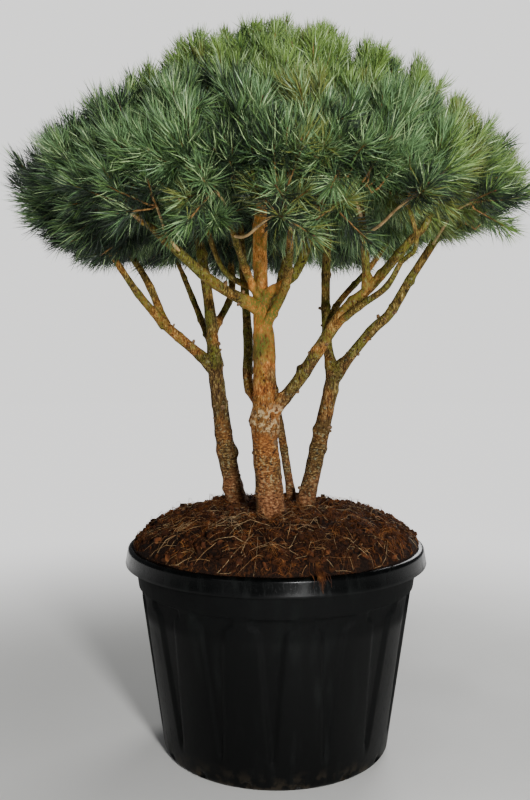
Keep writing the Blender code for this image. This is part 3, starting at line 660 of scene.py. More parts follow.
def limbLine(name):
    # Path and radii of a stem or bough, worked out as the solids' are
    b = barkLooks
    if name in stemTable:
        spec = stemTable[name]
        foot = (*spec["foot"], soilLooks["top"])
        path, radii = curveThrough((foot, *spec["way"]), spec["radii"], b["step"])
        for place, extra, spread in spec["knots"]:
            radii = radii + extra * np.exp(-((sharesAlong(path) - place) / spread) ** 2)
        return path, radii + spec["flare"] * np.exp(-(path[:, 2] - path[0, 2]) / b["flareHeight"])
    spec = boughTable[name]
    parent, parentRadii = limbLines[spec["on"]]
    start = placeAt(parent, spec["at"])
    if spec["at"] == 1.0:
        start = start - unit(parent[-1] - parent[-2]) * parentRadii[-1] * 0.6
    path, radii = curveThrough((start, *spec["way"]), spec["radii"], b["step"])
    return path, radii * (1 + b["collar"] * np.exp(-(runAlong(path) / (radii[0] * 2.6)) ** 2))


limbLines = {}
for limbName in (*stemTable, *boughTable):
    limbLines[limbName] = limbLine(limbName)


def barkRelief(points, radii, run, turns, name, rng):
    # Outward shift of each point of a limb's surface, as (ring, side)
    b = barkLooks
    grain = points * np.array((1.0, 1.0, 0.55))
    radius = radii[:, None]
    large, small = b["flakeSizes"]
    lump = np.minimum(radius, b["lumpReach"])
    shift = radius * b["relief"] * layeredNoise(points, b["reliefSize"], 2, 7)
    plates = np.abs(softNoise(grain, large, 3)) + 0.6 * np.abs(softNoise(grain, small, 9))
    shift = shift + b["flake"] * np.minimum(radius, 0.026) * (stepUp(plates, 0.15, 0.55) - 0.5)
    place = rng.uniform(0.02, b["whorlGap"])
    while place < run[-1] - 0.01:
        near = np.exp(-((run[:, None] - place) / b["whorlWide"]) ** 2)
        shift = shift + lump * b["whorlRise"] * near
        for _ in range(rng.integers(1, 4)):
            turn = rng.uniform(0, 2 * math.pi)
            off = (turns[None] - turn + math.pi) % (2 * math.pi) - math.pi
            spot = np.exp(-(off / 0.42) ** 2 - ((run[:, None] - place) / (radius * 0.62)) ** 2)
            rise = b["lumpRise"] * rng.uniform(0.3, 1.0) * (b["trunkLumps"] if name == "trunk" else 1.0)
            shift = shift + lump * rise * spot
        place += b["whorlGap"] * rng.uniform(0.55, 1.35)
    if name == "trunk":
        burl = np.exp(-((points[..., 2] - b["burlHeight"]) / b["burlReach"]) ** 2)
        shift = shift + burl * (b["burlRise"] * layeredNoise(points, 0.02, 3, 21) - 0.0016)
    return shift


def makeLimbs(look, rng):
    b = barkLooks
    for name, (path, radii) in limbLines.items():
        if name in stemTable:
            path = np.vstack((path[0] - (0, 0, b["sink"]), path))
            radii = np.concatenate((radii[:1], radii))
        sides = int(np.clip(round(radii.max() * 2 * math.pi / b["faceWidth"]), 18, 64))
        turns = evenTurns(sides)
        along, side, across = carriedFrames(path)
        outward = swing(turns, side[:, None], across[:, None])
        points = path[:, None] + outward * radii[:, None, None]
        shift = barkRelief(points, radii, runAlong(path), turns, name, rng)
        points = points + outward * shift[..., None]
        keep(tubePiece(name + "Bark", points, path[0], path[-1], look), "bark", name)


stubLooks = dict(
    counts=dict(trunk=5, stemLeft=9, stemRight=8, centreRight=6, leftMain=5, leftOuter=3, rightOuter=6,
                rightInner=5, stemBack=5, centreLeftFront=4, centreRightUpper=4),
    along=(0.06, 0.86), length=(0.004, 0.011), thick=(0.0022, 0.0048), sides=7)


def makeStubs(rng):
    # Pruned branch ends and spurs that stand off the stems and lower boughs
    s = stubLooks
    paths, widths = [], []
    for name, count in s["counts"].items():
        path, radii = limbLines[name]
        along, side, across = carriedFrames(path)
        for _ in range(count):
            i = int(rng.uniform(*s["along"]) * len(path))
            turn = rng.uniform(0, 2 * math.pi)
            out = unit(math.cos(turn) * side[i] + math.sin(turn) * across[i] + 0.45 * along[i])
            length = rng.uniform(*s["length"])
            root = path[i] + out * radii[i] * 0.6
            tip = path[i] + out * (radii[i] + length)
            thick = rng.uniform(*s["thick"]) * (0.6 + radii[i] / 0.03)
            paths.append(root + (tip - root) * np.array((0, 0.4, 0.8, 0.96, 1.0))[:, None])
            widths.append(thick * np.array((1.5, 1.15, 1.0, 0.8, 0.05)))
    strandPiece("prunedStubs", np.array(paths), np.array(widths), mottledLook("cutStub"), s["sides"],
                nodes=("trunk",))


barkColors = dict(
    orange=((0.39, (0.014, 0.004, 0.001)), (0.46, (0.1, 0.031, 0.006)),
            (0.54, (0.225, 0.077, 0.015)), (0.64, (0.44, 0.23, 0.065))),
    bright=((0.38, (0.125, 0.039, 0.007)), (0.5, (0.5, 0.18, 0.032)), (0.64, (0.8, 0.43, 0.125))),
    youngAndLit=((0.38, (0.22, 0.074, 0.014)), (0.5, (0.72, 0.3, 0.066)), (0.62, (0.92, 0.6, 0.22))),
    worn=((0.39, (0.02, 0.008, 0.004)), (0.48, (0.12, 0.045, 0.02)), (0.64, (0.34, 0.2, 0.11))),
    brown=((0.39, (0.005, 0.002, 0.001)), (0.46, (0.034, 0.017, 0.004)),
           (0.54, (0.08, 0.043, 0.011)), (0.64, (0.29, 0.205, 0.075))),
    olive=((0.39, (0.006, 0.004, 0.001)), (0.46, (0.044, 0.027, 0.005)),
           (0.54, (0.112, 0.07, 0.014)), (0.64, (0.34, 0.26, 0.075))),
    foot=((0.38, (0.04, 0.013, 0.005)), (0.5, (0.15, 0.052, 0.02)), (0.64, (0.36, 0.17, 0.085))),
    resin=(0.46, 0.34, 0.18), lichen=(0.26, 0.265, 0.15), algae=(0.075, 0.086, 0.007),
    moss=(0.058, 0.076, 0.01),
    # Where moss gathers: a fork's place and how far it spreads
    mossForks=(((-0.026, -0.112, 1.09), 0.042), ((0.012, -0.108, 1.045), 0.032),
               ((-0.04, -0.108, 1.000), 0.028), ((-0.15, 0.08, 0.96), 0.006),
               ((0.16, 0.065, 0.93), -0.006), ((-0.282, 0.025, 1.049), 0.000)))


def barkLook():
    # Orange near the trunk's line, olive-brown on the stems and boughs, redder at their feet
    c = barkColors
    made, place = newMaterial("pineBark", {"Specular IOR Level": 0.16})
    height = place.axis(2)
    patches = place.noise(22.0, 4.0, 0.6)
    long = place.stretched((1.0, 1.0, 0.32))
    flecks = long.noise(330.0, 3.0, 0.7)
    plates = long.noise(95.0, 5.0, 0.65)
    wrinkles = place.stretched((1.0, 1.0, 2.1)).noise(115.0, 4.0, 0.68) * 0.75 + 0.13
    tone = wrinkles + (flecks * 0.62 + plates * 0.38 - wrinkles) * height.spread(0.74, 0.83)
    brown = tone.ramp(c["brown"])

    # Brighter orange upwards: the upper bark's own colour, and above the fork partly painted light against
    # the crown's shade
    orange = height.spread(0.84, 1.16).colors(tone.ramp(c["orange"]), tone.ramp(c["bright"]))
    orange = height.spread(1.12, 1.26).colors(orange, tone.ramp(c["youngAndLit"]))
    stems = (height + patches * 0.22).spread(1.02, 1.18).colors(brown, tone.ramp(c["olive"]))
    warm = place.noise(9.0, 3.0).spread(0.5, 0.62) * height.spread(0.95, 1.1, (0.45, 0.22))
    stems = warm.colors(stems, orange)
    foot = (height + patches * 0.3).spread(0.74, 0.9, (0.6, 0.0))
    stems = foot.colors(stems, tone.ramp(c["foot"]))
    worn = (height + patches * 0.3).spread(0.76, 0.9, (0.55, 0.0))
    orange = worn.colors(orange, tone.ramp(c["worn"]))
    stained = place.noise(14.0, 4.0, 0.6).spread(0.48, 0.62) * height.spread(1.1, 1.2, (0.75, 0.3))
    orange = stained.colors(orange, brown)

    # The trunk's line leans back with height, and the stems' colours start beyond it
    away = place.stretched((1.0, 1.0, 0.0)).distance((-0.03, -0.08, 0.0))
    beyond = away - height.spread(1.05, 1.5, (0.0, 0.05)) + patches * 0.03
    color = beyond.spread(0.044, 0.078).colors(orange, stems)

    resin = height.spread(0.775, 0.8) * height.spread(0.835, 0.865, (1.0, 0.0))
    resin = resin * beyond.spread(0.07, 0.085, (1.0, 0.0)) * place.noise(78.0, 4.0, 0.65).spread(0.5, 0.6)
    color = (resin * 0.62).colors(color, c["resin"])
    lichen = place.noise(120.0, 4.0, 0.7).spread(0.55, 0.64) * patches.spread(0.44, 0.58)
    lichen = lichen * beyond.spread(0.04, 0.07, (0.22, 0.58))
    color = lichen.colors(color, c["lichen"])
    algae = height.spread(0.76, 1.06) * patches.spread(0.44, 0.56) * flecks.spread(0.44, 0.54)
    color = (algae * 0.8).colors(color, c["algae"])
    for fork, reach in c["mossForks"]:
        moss = (place.distance(fork) + patches * 0.04).spread(reach, reach + 0.045, (1.0, 0.0))
        color = (moss * flecks.spread(0.42, 0.5) * 0.96).colors(color, c["moss"])
    relief = plates + flecks * 0.5 + wrinkles * height.spread(0.74, 0.83, (0.8, 0.0))
    return wire(made, {"Base Color": color, "Roughness": plates.spread(0.3, 0.7, (0.92, 0.66)),
                       "Normal": relief.bump(0.9, 0.004)})


# Crown: hubs of shoots carried by twigs that grow from each mass's own stem

crown = dict(
    x=-0.016, radius=0.632, top=1.811, waist=1.405, low=1.158, lean=0.028, lowRise=0.07,
    frontRise=0.085, ragged=0.04, hollow=0.13, hollowWide=0.45, slim=0.018,
    powerTop=1.42, powerLow=2.8, lowEnd=0.95,
    hubs=170, hubDensity=0.75, hubInset=0.195, hubReach=0.088,
    shoots=1640, lowDensity=0.8, innerShare=0.21, innerDepth=(0.085, 0.115), innerSpread=0.045,
    coreShoots=90, coreReach=0.24, coreLow=1.5, coreRise=0.18,
    recess=0.062, crease=0.046, creaseWide=0.045, depth=0.042,
    fan=0.62, fanDepth=0.125, tipInset=0.042, waver=0.13,
    massRings=((0.43, 1.385), (0.22, 1.53)), massTop=(0.005, 1.655))

# The bough that carries each mass, and the mass's bearing, in an outer and an inner ring
outerMasses = dict(
    foliageRight=("rightOuter", 5), foliageRightRear=("centreRightDark", 38),
    foliageRearRight=("stemBack", 72), foliageRearLeft=("leftInner", 105),
    foliageLeftRear=("leftThin", 135), foliageLeft=("leftOuterRear", 165),
    foliageLeftLow=("leftOuterFront", 196), foliageLeftFront=("centreLeftFront", 222),
    foliageFrontLeft=("centreLeftUp", 247), foliageFront=("centreRightOlive", 273),
    foliageFrontRight=("centreRightLower", 302), foliageRightFront=("centreRight", 333))
innerMasses = dict(
    foliageUpperRight=("centreRightUp", 342), foliageUpperRightRear=("rightInner", 42),
    foliageUpperRear=("centreBack", 102), foliageUpperLeft=("leftMain", 165),
    foliageUpperLeftFront=("centreLeftThin", 228), foliageUpperFront=("centreRightUpper", 294))
foliageNodes = (*outerMasses, *innerMasses, "foliageTop")

twigLooks = dict(
    branchThick=(0.0046, 0.0028), branchSteps=9, branchSides=6, stemSides=10,
    shootThick=(0.0028, 0.0019), shootSteps=8, shootLength=(0.085, 0.135), shootDroop=0.07,
    forkThick=(0.004, 0.0026), forkSteps=14, forkSides=7,
    whorlShoots=4, whorlSpread=0.85, whorlLength=0.105, whorlEdge=0.8, wander=0.05,
    budLength=0.011, budThick=0.0026)

# Thin forks seen below the front tufts: their limb, how far along it they leave, and their way
frontForks = (
    ("centreLeftUp", 0.8, ((-0.067, -0.33, 1.221), (-0.033, -0.37, 1.243), (-0.003, -0.42, 1.257))),
    ("centreLeftUp", 1.00, ((-0.109, -0.37, 1.281), (-0.124, -0.44, 1.297))),
    ("centreLeftFront", 0.66, ((-0.235, -0.29, 1.226), (-0.24, -0.34, 1.249), (-0.244, -0.4, 1.272))),
    ("centreLeftFront", 1.00, ((-0.302, -0.36, 1.264), (-0.31, -0.39, 1.28))),
    ("centreRightUp", 0.45, ((0.218, -0.27, 1.25), (0.24, -0.36, 1.27), (0.256, -0.43, 1.281))),
    ("centreRightUp", 0.6, ((0.171, -0.27, 1.295), (0.141, -0.38, 1.323), (0.125, -0.47, 1.345))),
    ("rightOuter", 0.97, ((0.402, -0.14, 1.295), (0.394, -0.24, 1.291), (0.409, -0.29, 1.296))),
    ("centreLeftThin", 0.95, ((-0.159, -0.21, 1.282), (-0.136, -0.3, 1.265))),
    ("centreLeftThin", 0.9, ((-0.194, -0.22, 1.276), (-0.193, -0.31, 1.272))),
    ("centreRightOlive", 1.00, ((0.024, -0.37, 1.253), (0.01, -0.45, 1.268))),
    ("centreRightUpper", 0.85, ((0.103, -0.27, 1.28), (0.116, -0.38, 1.277))),
)


def massCentres():
    centres, carriers = [], []
    for (reach, height), masses in zip(crown["massRings"], (outerMasses, innerMasses)):
        for carrier, bearing in masses.values():
            turn = math.radians(bearing)
            centres.append((crown["x"] + reach * math.cos(turn), reach * math.sin(turn), height))
            carriers.append(carrier)
    shift, height = crown["massTop"]
    return np.array((*centres, (crown["x"] + shift, 0.0, height))), (*carriers, "trunk")


def crownProfile():
    # Radius, height and outward direction down the crown's side, in fine steps
    c = crown
    above, below = 2 / c["powerTop"], 2 / c["powerLow"]
    rows = [(0.0, c["top"])]
    for k in range(1, 121):
        turn = math.pi / 2 * k / 120
        rows.append((c["radius"] * math.sin(turn) ** above,
                     c["waist"] + (c["top"] - c["waist"]) * max(math.cos(turn), 0) ** above))
    for k in range(1, 61):
        turn = math.pi / 2 * c["lowEnd"] * k / 60
        rows.append((c["radius"] * math.cos(turn) ** below,
                     c["waist"] - (c["waist"] - c["low"]) * math.sin(turn) ** below))
    rows = np.array(rows)
    run = unit(np.gradient(rows, axis=0))
    return rows, np.stack((-run[:, 1], run[:, 0]), 1)


def crownPlaces(count, rng, lowShare):
    # Points and outward directions spread evenly over the crown
    c = crown
    rows, outward = crownProfile()
    steps = np.linalg.norm(np.diff(rows, axis=0), axis=1)
    areas = steps * (rows[1:, 0] + rows[:-1, 0])
    areas = areas * np.where(rows[1:, 1] < c["waist"] - 0.12, lowShare, 1.0)
    shares = np.concatenate(((0,), np.cumsum(areas))) / areas.sum()
    share = (np.arange(count) + rng.random(count)) / count
    radius, height, outR, outZ = (np.interp(share, shares, column) for column in (*rows.T, *outward.T))
    turn = np.arange(count) * goldenTurn
    cosine, sine = np.cos(turn), np.sin(turn)
    radius = radius * (1 - c["slim"] * np.maximum(cosine, 0) ** 2)
    depth = np.clip((c["waist"] - height) / (c["waist"] - c["low"]), 0, 1)
    height = height + depth * (c["lowRise"] * radius * cosine + c["frontRise"] * np.maximum(-sine, 0))
    height = height + c["hollow"] * np.clip(1 - radius / c["hollowWide"], 0, 1) * (depth > 0)
    height = height + c["ragged"] * depth * softNoise(ringAt(turn, radius, 0.0), 0.15, 4)
    lean = np.sin(math.pi * np.clip((height - c["waist"]) / (c["top"] - c["waist"]), 0, 1) ** 2)
    points = ringAt(turn, radius, height)
    points[:, 0] += c["x"] + c["lean"] * lean
    return points, unit(ringAt(turn, outR, outZ))


def massStem(carrier, centre):
    # The mass's own stem, from its bough's tip to past its middle
    path, radii = limbLines[carrier]
    ahead = unit(path[-1] - path[-2])
    start = path[-1] - ahead * 0.004
    heart = centre + (centre - start) * 0.25
    lead = start + ahead * np.linalg.norm(heart - start) * 0.25
    return curveThrough((start, lead, heart), (radii[-1] * 0.98, radii[-1] * 0.85, 0.0035), 0.02)


def growthWay(out, upward=1.0):
    # The way shoots grow from a face of the crown: outward, and more upward above
    level = np.interp(out[:, 2], (-1, -0.6, -0.2, 0.3, 0.7, 1), (0.15, 0.3, 0.5, 0.66, 0.8, 0.7))
    radial = np.array((1.0, 1.0, 0.0)) * out * np.interp(out[:, 2], (-1, -0.2), (1.5, 0.0))[:, None]
    return unit(out * 0.62 + radial + np.array((0, 0, upward)) * level[:, None])


def outerShoots(count, centres, hubFaces, hubOut, rng):
    # Shoots over the crown's face that fan out from their hubs, sunk between tufts and masses
    c = crown
    faces, out = crownPlaces(count, rng, c["lowDensity"])
    gap = np.linalg.norm(faces[:, None] - hubFaces, axis=2)
    owner = np.argmin(gap, axis=1)
    away = gap.min(1) / c["hubReach"]
    radial = unit(faces - hubFaces[owner] + growthWay(hubOut[owner]) * c["fanDepth"])
    direction = radial * c["fan"] + growthWay(out) * (1 - c["fan"])
    direction = unit(direction + rng.normal(0, c["waver"], out.shape))
    near = np.sort(np.linalg.norm(faces[:, None] - centres, axis=2), axis=1)
    crease = np.exp(-((near[:, 1] - near[:, 0]) / c["creaseWide"]) ** 2)
    inset = c["recess"] * np.minimum(away, 1.2) ** 2
    inset = inset + c["depth"] * rng.random(len(faces)) ** 1.5 + c["crease"] * crease
    inset = inset * np.interp(faces[:, 2], (1.55, 1.76), (1.0, 0.5))
    inset = inset * np.interp(out[:, 2], (-1, 0), (0.3, 1))
    tips = faces - direction * c["tipInset"] - out * inset[:, None]
    # The last value, distance from the hub and nearness to a crease, sets the needles' painted shade
    # between tufts
    return tips, direction, owner, np.minimum(away, 1.3) ** 2 + 1.3 * crease


def innerShoots(count, hubs, hubFaces, hubOut, rng):
    # Shaded shoots further in, which close the view between the tufts
    c = crown
    owner = rng.integers(0, c["hubs"], count)
    direction = unit(hubOut[owner] + rng.uniform(-0.75, 0.75, (count, 3)))
    tips = hubFaces[owner] - hubOut[owner] * rng.uniform(*c["innerDepth"], (count, 1))
    tips = tips + rng.uniform(-c["innerSpread"], c["innerSpread"], (count, 3))
    turn, reach, rise = (rng.random((c["coreShoots"], 3)) * (2 * math.pi, 1, 1)).T
    core = ringAt(turn, c["coreReach"] * np.sqrt(reach), c["coreLow"] + c["coreRise"] * rise)
    tips[:len(core)] = core + (c["x"], 0, 0)
    owner[:len(core)] = np.argmin(np.linalg.norm(tips[:len(core), None] - hubs, axis=2), axis=1)
    return tips, direction, owner, np.zeros(count)


def forkShoots(rng):
    # Whorls at the ends of the front forks
    t = twigLooks
    ends = np.array([way[-1] for limb, share, way in frontForks])
    ahead = unit(ends - np.array([way[-2] for limb, share, way in frontForks]))
    owner = np.repeat(np.arange(len(ends)), t["whorlShoots"])
    side = unit(rng.normal(size=(len(owner), 3))) * t["whorlSpread"]
    aim = unit(ahead[owner] + side * (np.arange(len(owner)) % t["whorlShoots"] > 0)[:, None])
    tips = ends[owner] + aim * t["whorlLength"] * rng.uniform(0.85, 1.1, (len(owner), 1))
    # whorlEdge gives the whorls' needles painted shade as for shoots between tufts
    return ends, (tips, aim, owner + crown["hubs"], np.full(len(owner), t["whorlEdge"]))


def growCrown(rng):
    # Places every shoot: its tip, direction, the twig end that carries it, and how far from a hub
    c = crown
    centres, carriers = massCentres()
    stems = [massStem(carrier, centre) for carrier, centre in zip(carriers, centres)]
    hubFaces, hubOut = crownPlaces(c["hubs"], rng, c["hubDensity"])
    hubs = hubFaces - growthWay(hubOut, 0.4) * c["hubInset"]
    hubMass = np.argmin(np.linalg.norm(hubs[:, None] - centres, axis=2), axis=1)
    inner = int(c["shoots"] * c["innerShare"])
    outerSet = outerShoots(c["shoots"] - inner, centres, hubFaces, hubOut, rng)
    innerSet = innerShoots(inner, hubs, hubFaces, hubOut, rng)
    forkEnds, forkSet = forkShoots(rng)
    tips, direction, owner, edge = (np.concatenate(part) for part in zip(outerSet, innerSet, forkSet))
    deep = np.repeat((False, True, False), [len(part[0]) for part in (outerSet, innerSet, forkSet)])
    return dict(stems=stems, hubs=hubs, hubMass=hubMass, hubOut=hubOut, ends=np.vstack((hubs, forkEnds)),
                tips=tips, direction=direction, owner=owner, deep=deep, edge=edge)


def makeTwigs(grown, look, rng):
    # Branches from the mass's stem to the hubs, then twigs from the hubs to the shoots
    t = twigLooks
    hubs = grown["hubs"]
    starts, leads = [], []
    for mass in grown["hubMass"]:
        path = grown["stems"][mass][0]
        starts.append(placeAt(path, rng.uniform(0.4, 0.98)))
        leads.append(unit(path[-1] - path[0]))
    starts = np.array(starts)
    span = np.linalg.norm(hubs - starts, axis=1)[:, None]
    first = starts + (np.array(leads) * 0.5 + unit(hubs - starts)) * span * 0.28
    second = hubs - unit(grown["hubOut"] + (0, 0, 0.25)) * span * 0.25
    wander = rng.normal(0, t["wander"], first.shape) * span
    branches = smoothStrands(np.stack((starts, first + wander, second, hubs), 1), t["branchSteps"])
    widths = np.linspace(*t["branchThick"], t["branchSteps"]) * rng.uniform(0.8, 1.15, (len(branches), 1))
    strandPiece("branchlets", branches, widths, look, t["branchSides"])

    shares = np.linspace(0, 1, max(len(path) for path, radii in grown["stems"]))
    paths = np.array([placeAt(path, shares).T for path, radii in grown["stems"]])
    widths = np.array([np.interp(shares, sharesAlong(path), radii) for path, radii in grown["stems"]])
    strandPiece("massStems", paths, widths, look, t["stemSides"])

    tips = grown["tips"]
    length = rng.uniform(*t["shootLength"], len(tips))[:, None]
    droop = rng.normal(0, t["shootDroop"], tips.shape)
    hub = grown["ends"][grown["owner"]]
    length = np.minimum(length, 0.8 * np.linalg.norm(tips - hub, axis=1)[:, None])
    base = tips - unit(grown["direction"] + droop + 0.7 * unit(tips - hub)) * length
    twigs = smoothStrands(np.stack((hub, (base + hub) / 2, base, tips), 1), t["shootSteps"])
    widths = np.linspace(*t["shootThick"], t["shootSteps"]) * rng.uniform(0.85, 1.15, (len(twigs), 1))
    strandPiece("shootTwigs", twigs, widths, mottledLook("shootBark"))
    grown["base"] = base

    shares = np.linspace(0, 1, t["forkSteps"])
    forks = []
    for limb, share, way in frontForks:
        start = placeAt(limbLines[limb][0], share)
        forks.append(placeAt(curveThrough((start, *way), np.ones(len(way) + 1), 0.01)[0], shares).T)
    widths = np.linspace(*t["forkThick"], t["forkSteps"]) * np.ones((len(forks), 1))
    strandPiece("frontForks", np.array(forks), widths, mottledLook("forkBark"), t["forkSides"])


def makeBuds(grown, rng):
    # Red-brown winter buds, one long and one short at each outer shoot's end
    tips = grown["tips"][~grown["deep"]]
    direction = grown["direction"][~grown["deep"]]
    paths, widths = [], []
    for size, lean in ((1.0, 0.0), (0.6, 0.8)):
        aim = unit(direction + lean * rng.normal(0, 0.6, direction.shape))
        length = twigLooks["budLength"] * size * rng.uniform(0.8, 1.2, (len(tips), 1))
        paths.append(tips[:, None] + aim[:, None] * (length * np.array((0.0, 0.45, 1.0)))[..., None])
        widths.append(twigLooks["budThick"] * size * np.array((0.5, 1.0, 0.05)) * np.ones((len(tips), 1)))
    strandPiece("winterBuds", np.concatenate(paths), np.concatenate(widths), mottledLook("winterBud"))


# Needles: how many to a shoot and how they stand, and the painted light and shade and the chance tone that
# make them lighter or darker
needleLooks = dict(
    count=188, length=0.066, width=0.0019, gloss=0.45, opened=52, closed=28, uneven=13, bend=16,
    flutter=0.13, lift=0.06, twist=0.55,
    shorter=((1.4, 1.6, 1.74), (1.03, 0.74, 0.58)),
    heights=(1.15, 1.28, 1.42, 1.79), lightAt=(-0.2, 0.3, 0.5, 1.1), start=0.2,
    lightRightward=((1.3, 1.6), (0.44, 0.64)), shadeSideways=0.84, patches=0.5, patchSize=0.12, byShoot=0.29,
    shadeBetweenTufts=0.52, inside=0.75, shadeToShootBase=1.3, byNeedle=0.48, steps=(0.0, 0.36, 0.8),
    blueBelow=1.5, blueLeftOf=0.5, pale=0.16, paleSideways=0.11, olive=0.54, mostTriangles=195000)

# Base colour and roughness of each tint, from the darkest
needleTints = dict(
    needlesShade=((0.008, 0.017, 0.008), 0.55),
    needlesDeep=((0.033, 0.07, 0.028), 0.5),
    needlesGreen=((0.081, 0.15, 0.041), 0.45),
    needlesFresh=((0.14, 0.228, 0.048), 0.45),
    needlesBlue=((0.108, 0.198, 0.08), 0.42),
    # Pale: the needles' whitish bloom, dealt out partly as painted highlights
    needlesPale=((0.302, 0.412, 0.188), 0.4),
    needlesOlive=((0.14, 0.16, 0.034), 0.48),
)


def makeNeedles(grown, rng):
    # Needles all round each shoot, flat, slim and slightly bent, dealt out by tint
    n = needleLooks
    tips = grown["tips"]
    shoots, each = len(tips), n["count"]
    share = (np.arange(each)[None] + rng.random((shoots, each))) / each
    axis = tips - grown["base"]
    reach = np.linalg.norm(axis, axis=1)[:, None, None]
    along = unit(axis)[:, None]
    side = unit(np.cross(along, (0.21, 0.13, 0.97)))
    across = np.cross(along, side)
    turn = (np.arange(each) * goldenTurn)[None] + rng.uniform(0, 0.9, (shoots, each))
    outward = swing(turn, side, across)
    root = grown["base"][:, None] + along * reach * (0.16 + 0.84 * share[..., None] ** 0.9)
    angle = np.radians(n["opened"] - n["closed"] * share ** 2 + rng.normal(0, n["uneven"], share.shape))
    bend = np.radians(rng.uniform(0, n["bend"], share.shape))
    length = n["length"] * (rng.uniform(0.8, 1.08, share.shape) - 0.08 * share ** 4)[..., None]
    length = length * np.interp(tips[:, 2], *n["shorter"])[:, None, None]
    length = length * rng.uniform(0.9, 1.08, (shoots, 1, 1))
    start = swing(angle, along, outward)
    finish = swing(angle - bend, along, outward)
    finish = unit(finish + rng.normal(0, n["flutter"], finish.shape) + (0, 0, n["lift"]))
    middle = root + start * length * 0.45
    tip = middle + finish * length * 0.55
    flat = unit(np.cross(start, outward) + rng.normal(0, n["twist"], start.shape))
    flat = unit(flat - start * (flat * start).sum(-1, keepdims=True))
    wide = n["width"] * rng.uniform(0.85, 1.15, share.shape)[..., None] / 2
    corners = np.stack((root, middle + flat * wide, tip, middle - flat * wide), 2).reshape(-1, 4, 3)
    tint = tintShoots(grown, share, rng).ravel()
    for k, (name, (color, rough)) in enumerate(needleTints.items()):
        chosen = corners[tint == k]
        parts = max(1, math.ceil(len(chosen) * 2 / n["mostTriangles"]))
        for letter, some in zip("ABCD", np.array_split(chosen, parts)):
            look = newMaterial(name, {"Base Color": color, "Roughness": rough,
                                      "Specular IOR Level": n["gloss"]})[0]
            quads = np.arange(len(some) * 4).reshape(-1, 4)
            piece = meshPiece(name + letter, some.reshape(-1, 3), (quads,), look, False)
            keep(piece, "needles", *foliageNodes)


def tintShoots(grown, share, rng):
    # Tint by painted light and shade, by patches and by chance; each shoot darker towards its base as
    # painted shade
    n = needleLooks
    tips, deep = grown["tips"], grown["deep"]
    names = list(needleTints)
    right = tips[:, 0] / crown["radius"]
    # Painted light and shade: lighter higher up and towards the right, where the key light falls, darker at
    # both sides
    light = np.interp(tips[:, 2], n["heights"], n["lightAt"])
    light = light + n["start"] + np.interp(tips[:, 2], *n["lightRightward"]) * right - n["shadeSideways"] * right ** 2
    light = light + n["patches"] * layeredNoise(tips, n["patchSize"], 2, 8)
    # Tone by chance for each shoot, and painted shade for shoots far from their hub or near a crease
    # between masses
    light = light + rng.normal(0, n["byShoot"], len(tips)) - n["shadeBetweenTufts"] * (grown["edge"] - 0.55)
    # Painted shade: shoots deep inside the crown much darker, and each shoot darker towards its base,
    # lighter at its tip
    light = np.where(deep, light - n["inside"], light)[:, None] + n["shadeToShootBase"] * (share - 0.6)
    light = light + rng.normal(0, n["byNeedle"], share.shape)
    tint = np.digitize(light, n["steps"])
    cool = (tips[:, 2] + 0.06 * softNoise(tips, 0.15, 21) < n["blueBelow"]) & (right < n["blueLeftOf"])
    tint = np.where((tint == 3) & cool[:, None], names.index("needlesBlue"), tint)
    chance = rng.random(share.shape)
    # Pale needles: the whitish bloom, partly painted highlights, fewer at the crown's sides
    pale = (chance < n["pale"] - n["paleSideways"] * right[:, None] ** 2) & (tint > 0) & ~deep[:, None]
    tint = np.where(pale, names.index("needlesPale"), tint)
    yellow = softNoise(tips, 0.11, 15) + 0.5 * right > n["olive"]
    return np.where(yellow[:, None] & (chance > 0.5) & (tint > 0), names.index("needlesOlive"), tint)


# Studio: pale floor that fades into the background, soft lights, the photograph's viewing angle

studio = dict(
    cameraPlace=(-0.027, -2.2, 0.99), pitch=3.4, lens=40.0, sensor=36.0, lightsAim=(0.0, 0.0, 1.0),
    floorRadius=14.0, floorHeight=-0.0005, floorSides=64, floorColor=(0.735, 0.73, 0.705),
    floorFade=(0.9, 2.6), seenColor=(1.0, 0.995, 0.985), seenStrength=1.35,
    skyColor=(0.93, 0.96, 1.0), skyStrength=0.13,
    lights=(("key", (0.85, -3.0, 1.3), 0.4, 140.0), ("fill", (-1.7, -2.8, 1.4), 1.5, 9.0),
            ("above", (0.2, -0.4, 3.9), 1.6, 44.0), ("back", (1.2, 2.8, 2.0), 1.8, 60.0)))


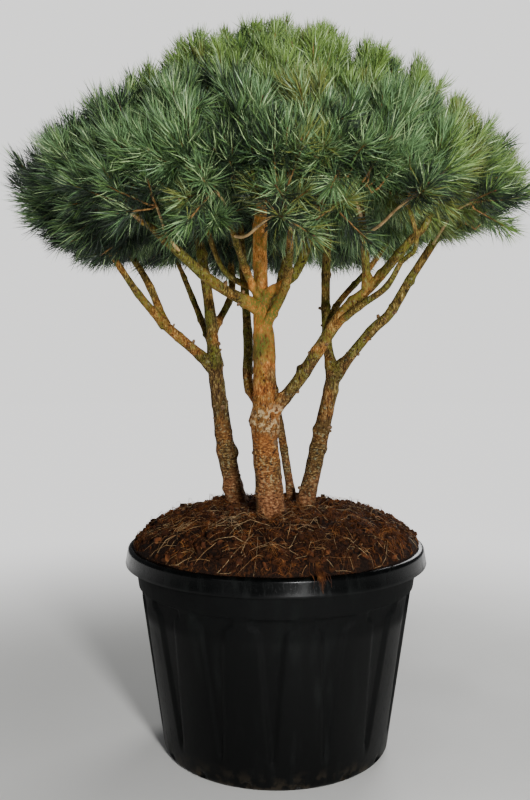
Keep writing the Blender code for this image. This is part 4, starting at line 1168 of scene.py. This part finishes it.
def makeFloor():
    s = studio
    rim = ringAt(evenTurns(s["floorSides"]), s["floorRadius"], s["floorHeight"])
    made, place = newMaterial("paleFloor", {"Specular IOR Level": 0.2,
                                            "Emission Strength": s["seenStrength"]})
    cloud = place.noise(2.2, 4.0, 0.6)
    color = cloud.colors(s["floorColor"], tuple(v * 0.93 for v in s["floorColor"]))
    far = place.distance((0.0, 0.0, 0.0)).spread(*s["floorFade"])
    wire(made, {"Base Color": far.colors(color, (0.0, 0.0, 0.0)),
                "Emission Color": far.colors((0.0, 0.0, 0.0), s["seenColor"]),
                "Roughness": cloud.spread(0.3, 0.7, (0.55, 0.7))})
    fan = capFaces(0, s["floorSides"], s["floorSides"], True)
    meshPiece("studioFloor", np.vstack((rim, (0, 0, s["floorHeight"]))), (fan,), made)


def lookAt(thing, target):
    away = np.array(thing.location) - np.array(target)
    flat = math.hypot(away[0], away[1])
    thing.rotation_euler = (math.atan2(flat, away[2]), 0, math.atan2(away[0], -away[1]))


def makeStudio():
    # The camera sees a brighter background than the one that lights the plant
    s = studio
    world = bpy.data.worlds.new("studioSky")
    world.use_nodes = True
    sky = Shade(world.node_tree)
    lit, seen = (sky.node("ShaderNodeBackground", None,
                          {"Color": (*s[name + "Color"], 1.0), "Strength": s[name + "Strength"]})
                 for name in ("sky", "seen"))
    direct = sky.node("ShaderNodeLightPath")
    mixed = sky.node("ShaderNodeMixShader", None, {0: direct, 1: lit, 2: seen})
    world.node_tree.links.new(mixed.socket, world.node_tree.nodes["World Output"].inputs["Surface"])
    scene = bpy.context.scene
    scene.world = world
    for name, place, size, power in s["lights"]:
        data = bpy.data.lights.new(name, "AREA")
        data.shape = "DISK"
        data.size = size
        data.energy = power
        lamp = bpy.data.objects.new(name, data)
        scene.collection.objects.link(lamp)
        lamp.location = place
        lookAt(lamp, s["lightsAim"])
    view = bpy.data.cameras.new("photoView")
    view.lens = s["lens"]
    view.sensor_width = s["sensor"]
    camera = bpy.data.objects.new("photoView", view)
    scene.collection.objects.link(camera)
    camera.location = s["cameraPlace"]
    camera.rotation_euler = (math.radians(90 - s["pitch"]), 0, 0)
    bpy.context.scene.camera = camera


makeStudio()
makeFloor()
print("studio ready")
makePot()
makeSoil()
makeChips(np.random.default_rng(31))
soilRng = np.random.default_rng(32)
makeFibres(soilRng)
makeSpill(soilRng)
print("pot and soil ready")
bark = barkLook()
makeLimbs(bark, np.random.default_rng(41))
makeStubs(np.random.default_rng(42))
print("limbs ready")
grown = growCrown(np.random.default_rng(51))
makeTwigs(grown, bark, np.random.default_rng(52))
makeBuds(grown, np.random.default_rng(53))
makeNeedles(grown, np.random.default_rng(54))
print("crown ready")
